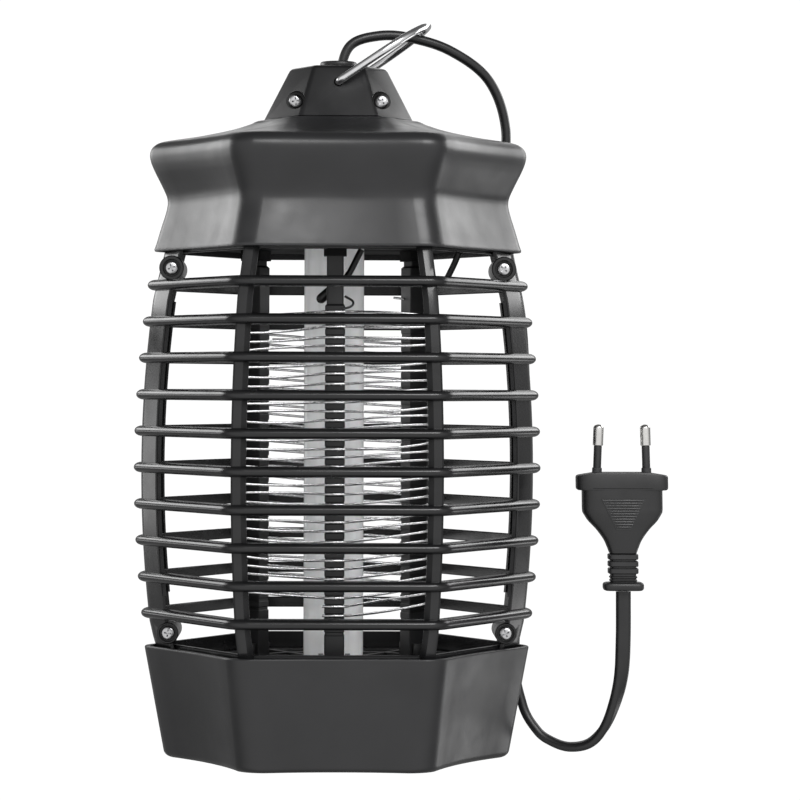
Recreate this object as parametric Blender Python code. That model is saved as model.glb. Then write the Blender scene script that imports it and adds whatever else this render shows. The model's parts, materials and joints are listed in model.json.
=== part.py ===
"""Hanging electric bug zapper: a hexagonal lantern with a ringed barrel cage, a catch tray,
a UV lamp inside a high-voltage wire grid, a hanging bail and a flat cord with a two-pin plug.

Dimensions are in millimetres and become metres when a mesh is made. The origin is the centre
of the tray's underside, +Z is up and the front faces -Y.
"""

import math

import bmesh
import bpy
from mathutils import Matrix, Vector

MM = 0.001
GAP = 0.3  # clearance between neighbouring pieces
HALF_GAP = GAP / 2

# Hexagonal plan: flats face front and back, corners point to the sides.
CORNER = 11.0
COS30 = math.cos(math.radians(30))
HOOD_DISH = 1.6  # how far the hood's sides curve in

# Barrel cage
BARREL_HALF_WIDTH = 77.9
BARREL_MIDDLE_Z = 109.0
BARREL_ARC = 490.0
RING_COUNT = 10
RING_PITCH = 13.9
RING_TOP_Z = 180.0
RING_HEIGHT = 4.1
RING_DEPTH = 4.8
RING_BEAD = 3.0  # depth of the ring's rounded outer part
POST_INSET = 2.9
POST_WALL = 1.5
CAGE_FOOT_Z = 34.3
CAGE_FOOT_HALF_WIDTH = 66.8
CAGE_HEAD_Z = 197.5
CAGE_HEAD_HALF_WIDTH = 65.0
CAGE_FOOT_FLARE = 0.3  # how fast the posts lean out from their feet and from their heads
CAGE_HEAD_FLARE = 0.25
HEAD_BAND_Z = 191.9
HEAD_BAND_HEIGHT = 5.2
BAND_THICK = 2.0
SIDE_POST_REACH = 16.0
CORNER_POST_WIDTH = 5.6
CORNER_POST_DEPTH = 4.2
BOSS_Y = 14.5
BOSS_LEVELS = ((186.2, 62.9, 4.7), (48.0, 64.0, 4.1))  # height, sideways place and radius
HEAD_RECESS_RADIUS = 3.05
HEAD_RECESS_DEPTH = 2.6
SHANK_RADIUS = 1.4

# Catch tray
TRAY_FOOT_HALF_WIDTH = 65.7
TRAY_RIM_HALF_WIDTH = 73.5
TRAY_HEIGHT = 42.4
TRAY_FOOT_DISH = 2.8
TRAY_RIM_DISH = 1.2
TRAY_WALL = 2.2
TRAY_EDGE = 3.0

# Floor grille and ceiling plate
GRILLE_TOP_Z = 37.2
GRILLE_THICK = 2.6
GRILLE_HALF_WIDTH = 61.0
PRONG_TOP_Z = 42.0
PRONG_DEPTH = 6.0
PRONG_SPREAD = 11.8  # over the two prongs that hold a post's foot
LAMP_HOLE_RADIUS = 12.6
SPOKES = 12
SPOKE_WIDTH = 2.2
CEILING_Z = 194.0
CEILING_THICK = 2.4
CEILING_HALF_WIDTH = 61.0
CEILING_SOCKET_DROP = 4.0
CEILING_SOCKET_WALL = 0.8

# Hood
HOOD_FOOT_Z = 192.8
HOOD_TOP_Z = 243.0
HOOD_WALL = 2.2
HOOD_TOP_HOLE = 9.0

# Hanger cap and bail
CAP_HEIGHT = 20.0
CAP_FOOT_RADIUS = 28.5
CAP_TOP_RADIUS = 18.2
CAP_CHAMBER_RADIUS = 8.0
CAP_BORE_RADIUS = 4.0
CAP_SCREW_X = 16.2
CAP_SCREW_Z = 249.7
CAP_SEAT_Y = -8.8
CAP_WELL_RADIUS = 3.65
BAIL_PIVOT_Z = 256.4
BAIL_WIRE_RADIUS = 1.45
BAIL_ARM_Y = 22.0
BAIL_REACH = 41.0
BAIL_BEND = 2.6
BAIL_END_Y = 12.5
BAIL_REST_TILT = math.radians(56)
GROMMET_RADIUS = 7.0
GROMMET_HEIGHT = 2.3

# Lamp and wire grid, which sit slightly to the left of the housing's axis
INNER_X = -1.0
LAMP_TUBE_RADIUS = 5.3
LAMP_TUBE_X = 6.15
LAMP_X = -1.4
LAMP_BEND_Z = 40.0
LAMP_TOP_Z = 196.7
LAMP_BASE_Z = LAMP_TOP_Z + GAP
LAMP_BASE_TOP_Z = 208.0
LAMP_SOCKET_TOP_Z = 219.0
POST_CIRCLE = 35.6
COIL_POST_WIDTH = 7.5
COIL_POST_DEPTH = 8.2
COIL_NECK_Z = {"front": 171.4, "rear_right": 187.4, "rear_left": 187.4}
COIL_NECK_CHAMFER = 0.8
COIL_NECK_WIDTH = 6.3
COIL_NECK_DEPTH = 6.5
POST_AZIMUTHS = {"front": -90, "rear_right": 30, "rear_left": 150}
COIL_WIRE_RADIUS = 0.5
COIL_LEAD = 6.9
COIL_BOTTOM_Z = 58.0
COIL_TURNS = 15.5

# Circuit board
BOARD_Z = 221.0
BOARD_THICK = 1.6
BOARD_HALF = (37.0, 23.0)
BOARD_STANDOFF_X = 32.0
BOARD_STANDOFF_Y = 18.0
BOARD_STANDOFF_RADIUS = 3.0

# Cord and plug
CORD_WIDE = 5.8
CORD_NARROW = 3.6
CORD_TURN_X = 95.0  # beyond this the cord turns its broad side to the front as it rises
CORD_TURN_LOW_Z = 6.0
CORD_TURN_HEIGHT = 34.0
LEAD_RADIUS = 1.2
PLUG_X = 109.0
PIN_SPACING = 19.0
PIN_LEAN = math.radians(1.9)
PIN_TIP_Z = 127.4
PIN_RADIUS = 2.0
PIN_SHANK_RADIUS = 1.0
SLEEVE_RADIUS = 1.55
COLLAR_RADIUS = 1.9
COLLAR_HEIGHT = 1.7
COLLAR_LIFT = 0.1  # keeps the leaning collar clear of the flange
PLUG_TOP_Z = 109.0
PLUG_LEAN = 0.018  # sideways per unit of height, down from the plug's top
PLUG_FOOT_Z = 63.6
PLUG_RIBS = (  # half width, foot and top
    (5.3, 67.1, 68.0),
    (5.3, 68.3, 69.3),
    (5.8, 70.1, 72.3),
    (5.8, 72.8, 75.0),
    (5.8, 75.5, 77.7),
)


def clear_scene():
    for item in list(bpy.data.objects):
        bpy.data.objects.remove(item, do_unlink=True)


def make_material(name, color, roughness, metallic=0.0):
    material = bpy.data.materials.new(name)
    material.use_nodes = True
    shader = material.node_tree.nodes["Principled BSDF"]
    shader.inputs["Base Color"].default_value = (*color, 1.0)
    shader.inputs["Roughness"].default_value = roughness
    shader.inputs["Metallic"].default_value = metallic
    return material


# ---------------------------------------------------------------- mesh helpers


def add_object(name, points, faces, material, location=(0, 0, 0)):
    """A mesh object from points in millimetres, faced outwards and shaded smooth by angle."""
    mesh = bpy.data.meshes.new(name)
    mesh.from_pydata([Vector(point) * MM for point in points], [], faces)
    shape = bmesh.new()
    shape.from_mesh(mesh)
    bmesh.ops.remove_doubles(shape, verts=shape.verts, dist=1e-6)
    bmesh.ops.recalc_face_normals(shape, faces=shape.faces)
    shape.to_mesh(mesh)
    shape.free()
    mesh.shade_smooth()
    mesh.set_sharp_from_angle(angle=math.radians(35))
    mesh.materials.append(material)
    item = bpy.data.objects.new(name, mesh)
    item.location = Vector(location) * MM
    bpy.context.scene.collection.objects.link(item)
    return item


def loft_faces(rows, columns, closed=False, start=0):
    """Quads between successive rows of points, with the two ends capped or joined."""
    faces = []
    for row in range(rows if closed else rows - 1):
        above = (row + 1) % rows
        for column in range(columns):
            beside = (column + 1) % columns
            corners = ((row, column), (row, beside), (above, beside), (above, column))
            faces.append([start + r * columns + c for r, c in corners])
    if not closed:
        faces.append([start + column for column in reversed(range(columns))])
        faces.append([start + (rows - 1) * columns + column for column in range(columns)])
    return faces


def loft(name, outlines, material, closed=False, location=(0, 0, 0)):
    points = [point for outline in outlines for point in outline]
    faces = loft_faces(len(outlines), len(outlines[0]), closed=closed)
    return add_object(name, points, faces, material, location)


def loft_many(name, solids, material, location=(0, 0, 0)):
    """Several lofts that don't touch each other, in one mesh."""
    points, faces = [], []
    for outlines in solids:
        faces += loft_faces(len(outlines), len(outlines[0]), start=len(points))
        points += [point for outline in outlines for point in outline]
    return add_object(name, points, faces, material, location)


def circle(radius, z, steps=16, center=(0, 0)):
    angles = [math.tau * step / steps for step in range(steps)]
    return [
        (center[0] + radius * math.cos(a), center[1] + radius * math.sin(a), z) for a in angles
    ]


def box_outlines(low, high):
    (x0, y0, z0), (x1, y1, z1) = low, high
    return [[(x0, y0, z), (x1, y0, z), (x1, y1, z), (x0, y1, z)] for z in (z0, z1)]


def lathe(name, profile, material, steps=16, location=(0, 0, 0), closed=False):
    """A turned piece about its own Z axis, from (radius, z) points."""
    rings = [circle(radius, z, steps) for radius, z in profile]
    return loft(name, rings, material, closed=closed, location=location)


def hexagon(half_width, z, corner=CORNER, dish=0.0, arc_steps=4, side_steps=4):
    """A hexagon with rounded corners; half_width is measured at a side corner."""
    points = []
    middle = half_width - corner
    for index in range(6):
        heading = math.radians(60 * index)
        center = Vector((math.cos(heading), math.sin(heading))) * middle
        for step in range(arc_steps + 1):
            angle = heading + math.radians(60 * step / arc_steps - 30)
            points.append(center + Vector((math.cos(angle), math.sin(angle))) * corner)
        following = math.radians(60 * (index + 1))
        normal = heading + math.radians(30)
        next_center = Vector((math.cos(following), math.sin(following))) * middle
        outward = Vector((math.cos(normal), math.sin(normal)))
        side_start = center + outward * corner
        side_end = next_center + outward * corner
        for step in range(1, side_steps if dish else 1):
            t = step / side_steps
            sag = dish * (1 - (2 * t - 1) ** 2)
            points.append(side_start.lerp(side_end, t) - outward * sag)
    return [(point.x, point.y, z) for point in points]


def barrel_half_width(z):
    return BARREL_HALF_WIDTH - (z - BARREL_MIDDLE_Z) ** 2 / (2 * BARREL_ARC)


def front_half(half_width, z, corner=CORNER):
    """The front half of a hexagon, from the -X corner round to the +X corner."""
    whole = hexagon(half_width, z, corner, arc_steps=2)
    front = [point for point in whole if point[1] < -HALF_GAP]
    front.sort(key=lambda point: math.atan2(point[1], point[0]))
    return [(-half_width, -HALF_GAP, z), *front, (half_width, -HALF_GAP, z)]


def half_band(profile, half_width, z):
    """A bar with the given (inset, rise) section, swept along the front half."""
    sides = [front_half(half_width - inset, z + rise, CORNER - inset) for inset, rise in profile]
    return [list(section) for section in zip(*sides)]


def sweep(name, path, section, material, location=(0, 0, 0)):
    """A section of (across, up) points carried along a path without twisting."""
    path = [Vector(point) for point in path]
    tangent = (path[1] - path[0]).normalized()
    side = tangent.orthogonal().normalized()
    if abs(tangent.z) > 0.5:
        side = Vector((1, 0, 0)) - tangent * tangent.x
    rows = []
    for index, point in enumerate(path):
        ahead = path[min(index + 1, len(path) - 1)]
        behind = path[max(index - 1, 0)]
        tangent = (ahead - behind).normalized()
        side = (side - tangent * side.dot(tangent)).normalized()
        up = tangent.cross(side)
        rows.append([tuple(point + side * a + up * b) for a, b in section])
    return loft(name, rows, material, location=location)


def round_section(radius, sides):
    angles = [math.tau * (side + 0.5) / sides for side in range(sides)]
    return [(radius * math.cos(a), radius * math.sin(a)) for a in angles]


def spline(knots, steps):
    """A smooth Catmull-Rom curve through the knots."""
    knots = [Vector(knot) for knot in knots]
    ends = [2 * knots[0] - knots[1], *knots, 2 * knots[-1] - knots[-2]]
    points = []
    for a, b, c, d in zip(ends, ends[1:], ends[2:], ends[3:]):
        for step in range(steps):
            t = step / steps
            curve = 2 * b + (c - a) * t + (2 * a - 5 * b + 4 * c - d) * t**2
            points.append((curve + (3 * b - a - 3 * c + d) * t**3) / 2)
    return [*points, knots[-1]]


def arc(center, radius, start, end, steps, plane):
    """Points on an arc; plane gives the two directions that the angle runs between."""
    first, second = (Vector(direction) for direction in plane)
    points = []
    for step in range(steps + 1):
        angle = math.radians(start + (end - start) * step / steps)
        offset = first * math.cos(angle) + second * math.sin(angle)
        points.append(Vector(center) + offset * radius)
    return points


def combine(base, other, operation):
    """A live Boolean; the other object becomes a hidden guide."""
    other.hide_render = True
    other.display_type = "WIRE"
    modifier = base.modifiers.new(f"{operation.lower()} {other.name}", "BOOLEAN")
    modifier.operation = operation
    modifier.object = other
    return base


# ---------------------------------------------------------------- catch tray and hood


def tray_dish(z):
    return TRAY_FOOT_DISH + (TRAY_RIM_DISH - TRAY_FOOT_DISH) * z / TRAY_HEIGHT


def make_catch_tray(plastic):
    slope = (TRAY_RIM_HALF_WIDTH - TRAY_FOOT_HALF_WIDTH) / TRAY_HEIGHT
    outer = [
        (TRAY_FOOT_HALF_WIDTH - TRAY_EDGE, 0.0),
        (TRAY_FOOT_HALF_WIDTH - 0.3 * TRAY_EDGE, 0.3 * TRAY_EDGE),
        (TRAY_FOOT_HALF_WIDTH + slope * TRAY_EDGE, TRAY_EDGE),
        (TRAY_RIM_HALF_WIDTH, TRAY_HEIGHT),
    ]
    inner = [
        (TRAY_RIM_HALF_WIDTH - TRAY_WALL, TRAY_HEIGHT),
        (TRAY_FOOT_HALF_WIDTH + slope * TRAY_WALL - TRAY_WALL, TRAY_WALL),
    ]
    outlines = [hexagon(width, z, dish=tray_dish(z)) for width, z in outer]
    outlines += [hexagon(width, z, CORNER - TRAY_WALL, dish=tray_dish(z)) for width, z in inner]
    return loft("catch_tray", outlines, plastic)


def hood_profile():
    """Half width and height of the hood's outer face, from the skirt up to the cap."""
    return [
        (70.3, HOOD_FOOT_Z),
        (68.4, 199.2),
        (66.3, 206.0),
        (65.3, 209.5),
        (65.3, 212.6),
        (67.2, 217.6),
        (70.2, 223.6),
        (71.7, 226.8),
        (72.0, 229.4),
        (71.4, 231.6),
        (69.6, 233.6),
        (67.0, 234.7),
        (52.7, 236.8),
        (41.2, 239.2),
        (30.5, 242.3),
        (28.8, HOOD_TOP_Z),
        (HOOD_TOP_HOLE, HOOD_TOP_Z),
    ]


def make_hood(plastic):
    outer, inner = [], []
    for width, z in hood_profile():
        corner = min(CORNER, 0.45 * width)
        flatness = HOOD_DISH * min(1.0, width / 65)
        outer.append(hexagon(width, z, corner, dish=flatness, side_steps=2))
        under = z if z == HOOD_FOOT_Z else z - HOOD_WALL * (z > 230)
        narrow = width if width < 32 else width - HOOD_WALL
        inner_corner = min(corner, CORNER - HOOD_WALL)
        inner.append(hexagon(narrow, under, inner_corner, dish=flatness, side_steps=2))
    return loft("hood", outer + inner[::-1], plastic, closed=True)


# ---------------------------------------------------------------- cage


def ring_profile():
    """Flat inside, a half ellipse outside."""
    half = RING_HEIGHT / 2
    angles = [math.radians(degrees) for degrees in (-90, -30, 30, 90)]
    bead = [(RING_BEAD * (1 - math.cos(a)), half * math.sin(a)) for a in angles]
    return [*bead, (RING_DEPTH, half), (RING_DEPTH, -half)]


def band_profile(height):
    return [(0, 0), (0, height), (BAND_THICK, height), (BAND_THICK, 0)]


def cage_bars():
    """The ten half rings, a foot band inside the tray's mouth and a head band in the hood."""
    bars = []
    for index in range(RING_COUNT):
        z = RING_TOP_Z - index * RING_PITCH
        bars.append(half_band(ring_profile(), barrel_half_width(z), z))
    foot_height = TRAY_HEIGHT + 1 - CAGE_FOOT_Z
    bars.append(half_band(band_profile(foot_height), CAGE_FOOT_HALF_WIDTH - 0.2, CAGE_FOOT_Z))
    head = band_profile(HEAD_BAND_HEIGHT)
    bars.append(half_band(head, CAGE_HEAD_HALF_WIDTH - 1.4, HEAD_BAND_Z))
    return bars


def post_levels():
    steps = 9
    rise = (CAGE_HEAD_Z - CAGE_FOOT_Z) / steps
    return [CAGE_FOOT_Z + rise * step for step in range(steps + 1)]


def post_half_width(z):
    """The posts follow the barrel, drawn in at the tray's mouth and inside the hood."""
    at_foot = CAGE_FOOT_HALF_WIDTH + CAGE_FOOT_FLARE * (z - CAGE_FOOT_Z)
    at_head = CAGE_HEAD_HALF_WIDTH + CAGE_HEAD_FLARE * (CAGE_HEAD_Z - z)
    return min(barrel_half_width(z) - POST_INSET, at_foot, at_head)


def side_post_section(half_width, side):
    """A thin bar from the parting line round the corner and along the slanted side."""
    vertex = half_width + CORNER * (1 / COS30 - 1)
    inner_vertex = vertex - POST_WALL / COS30
    along = Vector((-0.5, -COS30))
    outer = [(half_width, -HALF_GAP), (half_width - 0.6, -3.4)]
    end = Vector((vertex, 0)) + along * SIDE_POST_REACH
    inward = Vector((-COS30, 0.5)) * POST_WALL
    inner_end = end + inward
    inner = [(inner_vertex - 1.2, -2.2), (inner_vertex - 1.2, -HALF_GAP)]
    section = [*outer, tuple(end), tuple(inner_end), *inner]
    return [(side * x, y) for x, y in section]


def corner_post_section(half_width, side):
    """A bar in the front corner, chamfered on its inner edge."""
    vertex = half_width + CORNER * (1 / COS30 - 1)
    outside = vertex * 0.5 + 0.4
    front = -vertex * COS30 + 0.2
    back = front + CORNER_POST_DEPTH
    inside = outside - CORNER_POST_WIDTH
    section = [
        (inside, front + 1.9),
        (inside + 2.0, front + 0.4),
        (outside - 0.6, front),
        (outside, front + 0.6),
        (outside, back),
        (inside, back),
    ]
    return [(side * x, y) for x, y in section]


def cage_posts():
    solids = []
    for section in (side_post_section, corner_post_section):
        for side in (-1, 1):
            levels = post_levels()
            solids.append([[(x, y, z) for x, y in section(post_half_width(z), side)] for z in levels])
    return solids


def along_y(x, z, radius, y_start, y_end, steps=16):
    """A round bar along Y, as outlines for a loft."""
    angles = [math.tau * step / steps for step in range(steps)]
    return [
        [(x + radius * math.cos(a), y, z + radius * math.sin(a)) for a in angles]
        for y in (y_start, y_end)
    ]


def screw_places():
    return [(side * x, z) for z, x, _ in BOSS_LEVELS for side in (-1, 1)]


def boss_outlines(y_start, y_end):
    bosses = []
    for z, x, radius in BOSS_LEVELS:
        for side in (-1, 1):
            bosses.append(along_y(side * x, z, radius, y_start, y_end))
    return bosses


def make_cage_front(plastic):
    cage = loft_many("cage_front", cage_bars(), plastic)
    posts = loft_many("guide_front_posts", cage_posts(), plastic)
    combine(cage, posts, "UNION")
    bosses = boss_outlines(-BOSS_Y, -HALF_GAP)
    combine(cage, loft_many("guide_front_bosses", bosses, plastic), "UNION")
    floor = -BOSS_Y + HEAD_RECESS_DEPTH
    recesses = [
        along_y(x, z, HEAD_RECESS_RADIUS, -BOSS_Y - 9, floor, steps=12) for x, z in screw_places()
    ]
    combine(cage, loft_many("guide_front_recesses", recesses, plastic), "DIFFERENCE")
    bores = [along_y(x, z, SHANK_RADIUS + GAP, floor - 1, 2, steps=8) for x, z in screw_places()]
    combine(cage, loft_many("guide_front_bores", bores, plastic), "DIFFERENCE")
    return cage


def turned_round(solids):
    """The same solids turned half way round the vertical axis."""
    return [[[(-x, -y, z) for x, y, z in outline] for outline in outlines] for outlines in solids]


def make_cage_rear(plastic):
    cage = loft_many("cage_rear", turned_round(cage_bars()), plastic)
    combine(cage, loft_many("guide_rear_posts", turned_round(cage_posts()), plastic), "UNION")
    bosses = boss_outlines(HALF_GAP, BOSS_Y)
    combine(cage, loft_many("guide_rear_bosses", bosses, plastic), "UNION")
    bores = [along_y(x, z, SHANK_RADIUS + GAP, -2, BOSS_Y - 2, steps=8) for x, z in screw_places()]
    combine(cage, loft_many("guide_rear_bores", bores, plastic), "DIFFERENCE")
    return cage


# ---------------------------------------------------------------- screws


def cross_outline(arm, width, z):
    corners = []
    for quarter in range(4):
        turn = Matrix.Rotation(math.radians(90 * quarter), 2)
        for corner in ((width, width), (width, arm), (-width, arm)):
            corners.append(turn @ Vector(corner))
    return [(corner.x, corner.y, z) for corner in corners]


def make_screw(name, steel, x, y, z, head_radius=2.55, shank_length=12.0):
    """A pan-head screw with a cross recess, its head facing -Y."""
    head_height = 1.9
    profile = [
        (SHANK_RADIUS * 0.5, -shank_length),
        (SHANK_RADIUS, -shank_length + 1.5),
        (SHANK_RADIUS, 0.0),
        (head_radius, 0.0),
        (head_radius, 0.55 * head_height),
        (0.75 * head_radius, 0.9 * head_height),
        (0.3 * head_radius, head_height),
    ]
    screw = lathe(name, profile, steel, steps=12, location=(x, y, z))
    recess = [cross_outline(0.6 * head_radius, 0.3, level) for level in (0.6, head_height + 1)]
    cutter = loft(f"guide_cross_{name}", recess, steel, location=(x, y, z))
    for item in (screw, cutter):
        item.rotation_euler = (math.radians(90), 0, 0)
    return combine(screw, cutter, "DIFFERENCE")


def make_cage_screws(steel):
    seat = -BOSS_Y + HEAD_RECESS_DEPTH - GAP
    names = ("top_left", "top_right", "bottom_left", "bottom_right")
    for name, (x, z) in zip(names, screw_places()):
        make_screw(f"cage_screw_{name}", steel, x, seat, z, shank_length=16.0)


# ---------------------------------------------------------------- hanger cap, bail and grommet


def cap_radius(z):
    return CAP_FOOT_RADIUS + (CAP_TOP_RADIUS - CAP_FOOT_RADIUS) * (z - HOOD_TOP_Z) / CAP_HEIGHT


def cap_outline(z, inset=0.0):
    return hexagon(cap_radius(z) - inset, z, 3.0, arc_steps=2)


def make_cap_half(name, plastic, facing):
    """Half of the solid hexagonal cap; facing is -1 for the front and 1 for the rear."""
    foot, top = HOOD_TOP_Z + GAP, HOOD_TOP_Z + CAP_HEIGHT
    outlines = [cap_outline(foot), cap_outline(top - 1.2), cap_outline(top, inset=1.0)]
    cap = loft(name, outlines, plastic)
    far = facing * 60
    near = facing * HALF_GAP
    spare = box_outlines((-60, min(-far, near), foot - 9), (60, max(-far, near), top + 9))
    combine(cap, loft(f"guide_{name}_half", spare, plastic), "DIFFERENCE")
    chamber_profile = [(CAP_CHAMBER_RADIUS, foot - 5), (CAP_CHAMBER_RADIUS, top - 3.5)]
    chamber = [circle(radius, z) for radius, z in chamber_profile]
    combine(cap, loft(f"guide_{name}_chamber", chamber, plastic), "DIFFERENCE")
    bore = [circle(CAP_BORE_RADIUS, z) for z in (top - 9, top + 5)]
    combine(cap, loft(f"guide_{name}_bore", bore, plastic), "DIFFERENCE")
    eye_radius = BAIL_WIRE_RADIUS + GAP
    eye = along_y(0, BAIL_PIVOT_Z, eye_radius, *sorted((facing * 5, facing * 30)), steps=12)
    combine(cap, loft(f"guide_{name}_eye", eye, plastic), "DIFFERENCE")
    return cap


def make_cap_front(plastic):
    cap = make_cap_half("cap_front", plastic, -1)
    sides = (-CAP_SCREW_X, CAP_SCREW_X)
    wells = [along_y(x, CAP_SCREW_Z, CAP_WELL_RADIUS, -40, CAP_SEAT_Y, steps=12) for x in sides]
    combine(cap, loft_many("guide_cap_wells", wells, plastic), "DIFFERENCE")
    bores = [along_y(x, CAP_SCREW_Z, SHANK_RADIUS + GAP, CAP_SEAT_Y - 1, 3, steps=8) for x in sides]
    return combine(cap, loft_many("guide_cap_front_bores", bores, plastic), "DIFFERENCE")


def make_cap_rear(plastic):
    cap = make_cap_half("cap_rear", plastic, 1)
    sides = (-CAP_SCREW_X, CAP_SCREW_X)
    bores = [along_y(x, CAP_SCREW_Z, SHANK_RADIUS + GAP, -3, 8, steps=8) for x in sides]
    return combine(cap, loft_many("guide_cap_rear_bores", bores, plastic), "DIFFERENCE")


def make_cap_screws(steel):
    for side, x in (("left", -CAP_SCREW_X), ("right", CAP_SCREW_X)):
        name = f"cap_screw_{side}"
        make_screw(name, steel, x, CAP_SEAT_Y - GAP, CAP_SCREW_Z, 2.6, shank_length=15.0)


def bail_path():
    """Half of the loop, from an in-turned end up to the crown, then its mirror image."""
    y_in, y_arm = BAIL_END_Y, BAIL_ARM_Y
    plane = ((0, 1, 0), (0, 0, 1))
    bend = arc((0, y_arm - BAIL_BEND, BAIL_BEND), BAIL_BEND, -90, 0, 3, plane)
    crown_center = (0, 0, BAIL_REACH - y_arm)
    crown = arc(crown_center, y_arm, 0, 90, 6, plane)
    half = [Vector((0, y_in, 0)), *bend, *crown]
    mirrored = [Vector((0, -point.y, point.z)) for point in reversed(half[:-1])]
    return half + mirrored


def make_bail(steel):
    section = round_section(BAIL_WIRE_RADIUS, 8)
    bail = sweep("hanging_bail", bail_path(), section, steel, location=(0, 0, BAIL_PIVOT_Z))
    bail.rotation_euler = (0, BAIL_REST_TILT, 0)
    return bail


def make_grommet(rubber):
    foot = HOOD_TOP_Z + CAP_HEIGHT + GAP
    top = foot + GROMMET_HEIGHT
    profile = [
        (GROMMET_RADIUS, foot),
        (GROMMET_RADIUS, top - 0.8),
        (GROMMET_RADIUS - 0.8, top),
        (CORD_WIDE / 2 + 1.0, top),
        (CORD_WIDE / 2 + 1.0, foot),
    ]
    return lathe("cord_grommet", profile, rubber, closed=True)


# ---------------------------------------------------------------- inner frame


def wedge(inner, outer, start, end, z0, z1):
    """A window between two spokes, straight-sided towards the hexagon's side."""
    half = SPOKE_WIDTH / 2
    first, last = math.radians(start), math.radians(end)
    corners = []
    rounds = ((inner, first, 1), (outer, first, 1), (outer, last, -1), (inner, last, -1))
    for radius, heading, sign in rounds:
        radial = Vector((math.cos(heading), math.sin(heading))) * radius
        aside = Vector((-math.sin(heading), math.cos(heading))) * half * sign
        corners.append(radial + aside)
    return [[(corner.x, corner.y, z) for corner in corners] for z in (z0, z1)]


def post_base(azimuth, x_along, y_across):
    """Corners of a rectangle centred on a post, turned to face outwards."""
    heading = math.radians(azimuth)
    radial = Vector((math.cos(heading), math.sin(heading)))
    aside = Vector((-radial.y, radial.x))
    center = radial * POST_CIRCLE + Vector((INNER_X, 0))
    signs = ((-1, -1), (1, -1), (1, 1), (-1, 1))
    return [center + radial * (a * x_along) + aside * (b * y_across) for a, b in signs]


def post_block(azimuth, depth, width, z0, z1):
    corners = post_base(azimuth, depth / 2, width / 2)
    return [[(corner.x, corner.y, z) for corner in corners] for z in (z0, z1)]


def make_floor_grille(plastic):
    low, high = GRILLE_TOP_Z - GRILLE_THICK, GRILLE_TOP_Z
    plate = [hexagon(GRILLE_HALF_WIDTH, z, CORNER, arc_steps=2) for z in (low, high)]
    grille = loft("floor_grille", plate, plastic)
    windows = []
    pitch = 360 / SPOKES
    for spoke in range(SPOKES):
        start = 30 + spoke * pitch
        windows.append(wedge(17, 36, start, start + pitch, low - 2, high + 2))
        windows.append(wedge(39, 52, start, start + pitch, low - 2, high + 2))
    combine(grille, loft_many("guide_windows", windows, plastic), "DIFFERENCE")
    hub = [circle(LAMP_HOLE_RADIUS, z, center=(INNER_X, 0)) for z in (low - 2, high + 2)]
    combine(grille, loft("guide_hub_hole", hub, plastic), "DIFFERENCE")
    feet = []
    for azimuth in POST_AZIMUTHS.values():
        feet.append(post_block(azimuth, PRONG_DEPTH, PRONG_SPREAD, low + 0.4, PRONG_TOP_Z))
    combine(grille, loft_many("guide_feet", feet, plastic), "UNION")
    sockets = []
    for azimuth in POST_AZIMUTHS.values():
        depth, width = COIL_POST_DEPTH + 2 * GAP, COIL_POST_WIDTH + 2 * GAP
        sockets.append(post_block(azimuth, depth, width, high - GAP, PRONG_TOP_Z + 2))
    return combine(grille, loft_many("guide_sockets", sockets, plastic), "DIFFERENCE")


def make_ceiling_plate(plastic):
    low, high = CEILING_Z, CEILING_Z + CEILING_THICK
    plate = [hexagon(CEILING_HALF_WIDTH, z, arc_steps=2) for z in (low, high)]
    ceiling = loft("ceiling_plate", plate, plastic)
    hub = [circle(LAMP_HOLE_RADIUS, z, center=(INNER_X, 0)) for z in (low - 2, high + 2)]
    combine(ceiling, loft("guide_lamp_hole", hub, plastic), "DIFFERENCE")
    hole_depth, hole_width = COIL_NECK_DEPTH + 2 * GAP, COIL_NECK_WIDTH + 2 * GAP
    blocks, sockets = [], []
    for azimuth in POST_AZIMUTHS.values():
        depth, width = (hole + 2 * CEILING_SOCKET_WALL for hole in (hole_depth, hole_width))
        blocks.append(post_block(azimuth, depth, width, low - CEILING_SOCKET_DROP, low + 1))
        sockets.append(post_block(azimuth, hole_depth, hole_width, low - 9, low - 2))
    board_z = BOARD_Z - GAP
    for x in (-BOARD_STANDOFF_X, BOARD_STANDOFF_X):
        for y in (-BOARD_STANDOFF_Y, BOARD_STANDOFF_Y):
            standoff = [circle(BOARD_STANDOFF_RADIUS, z, 8, (x, y)) for z in (high - 1, board_z)]
            blocks.append(standoff)
    for index, block in enumerate(blocks):
        combine(ceiling, loft(f"guide_ceiling_block_{index}", block, plastic), "UNION")
    return combine(ceiling, loft_many("guide_ceiling_sockets", sockets, plastic), "DIFFERENCE")


# ---------------------------------------------------------------- lamp, posts and wire grid


def make_lamp_tube(glass):
    plane = ((1, 0, 0), (0, 0, 1))
    bend = arc((LAMP_X, 0, LAMP_BEND_Z), LAMP_TUBE_X, 180, 360, 8, plane)
    left_top = Vector((LAMP_X - LAMP_TUBE_X, 0, LAMP_TOP_Z))
    right_top = Vector((LAMP_X + LAMP_TUBE_X, 0, LAMP_TOP_Z))
    path = [left_top, *bend, right_top]
    return sweep("lamp_tube", path, round_section(LAMP_TUBE_RADIUS, 16), glass)


def make_lamp_base(ceramic):
    low = (INNER_X - 14, -8, LAMP_BASE_Z)
    high = (INNER_X + 14, 8, LAMP_BASE_TOP_Z)
    return loft("lamp_base", box_outlines(low, high), ceramic)


def make_lamp_socket(plastic):
    low = (INNER_X - 17, -11, LAMP_BASE_TOP_Z + GAP)
    high = (INNER_X + 17, 11, LAMP_SOCKET_TOP_Z)
    return loft("lamp_socket", box_outlines(low, high), plastic)


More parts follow.
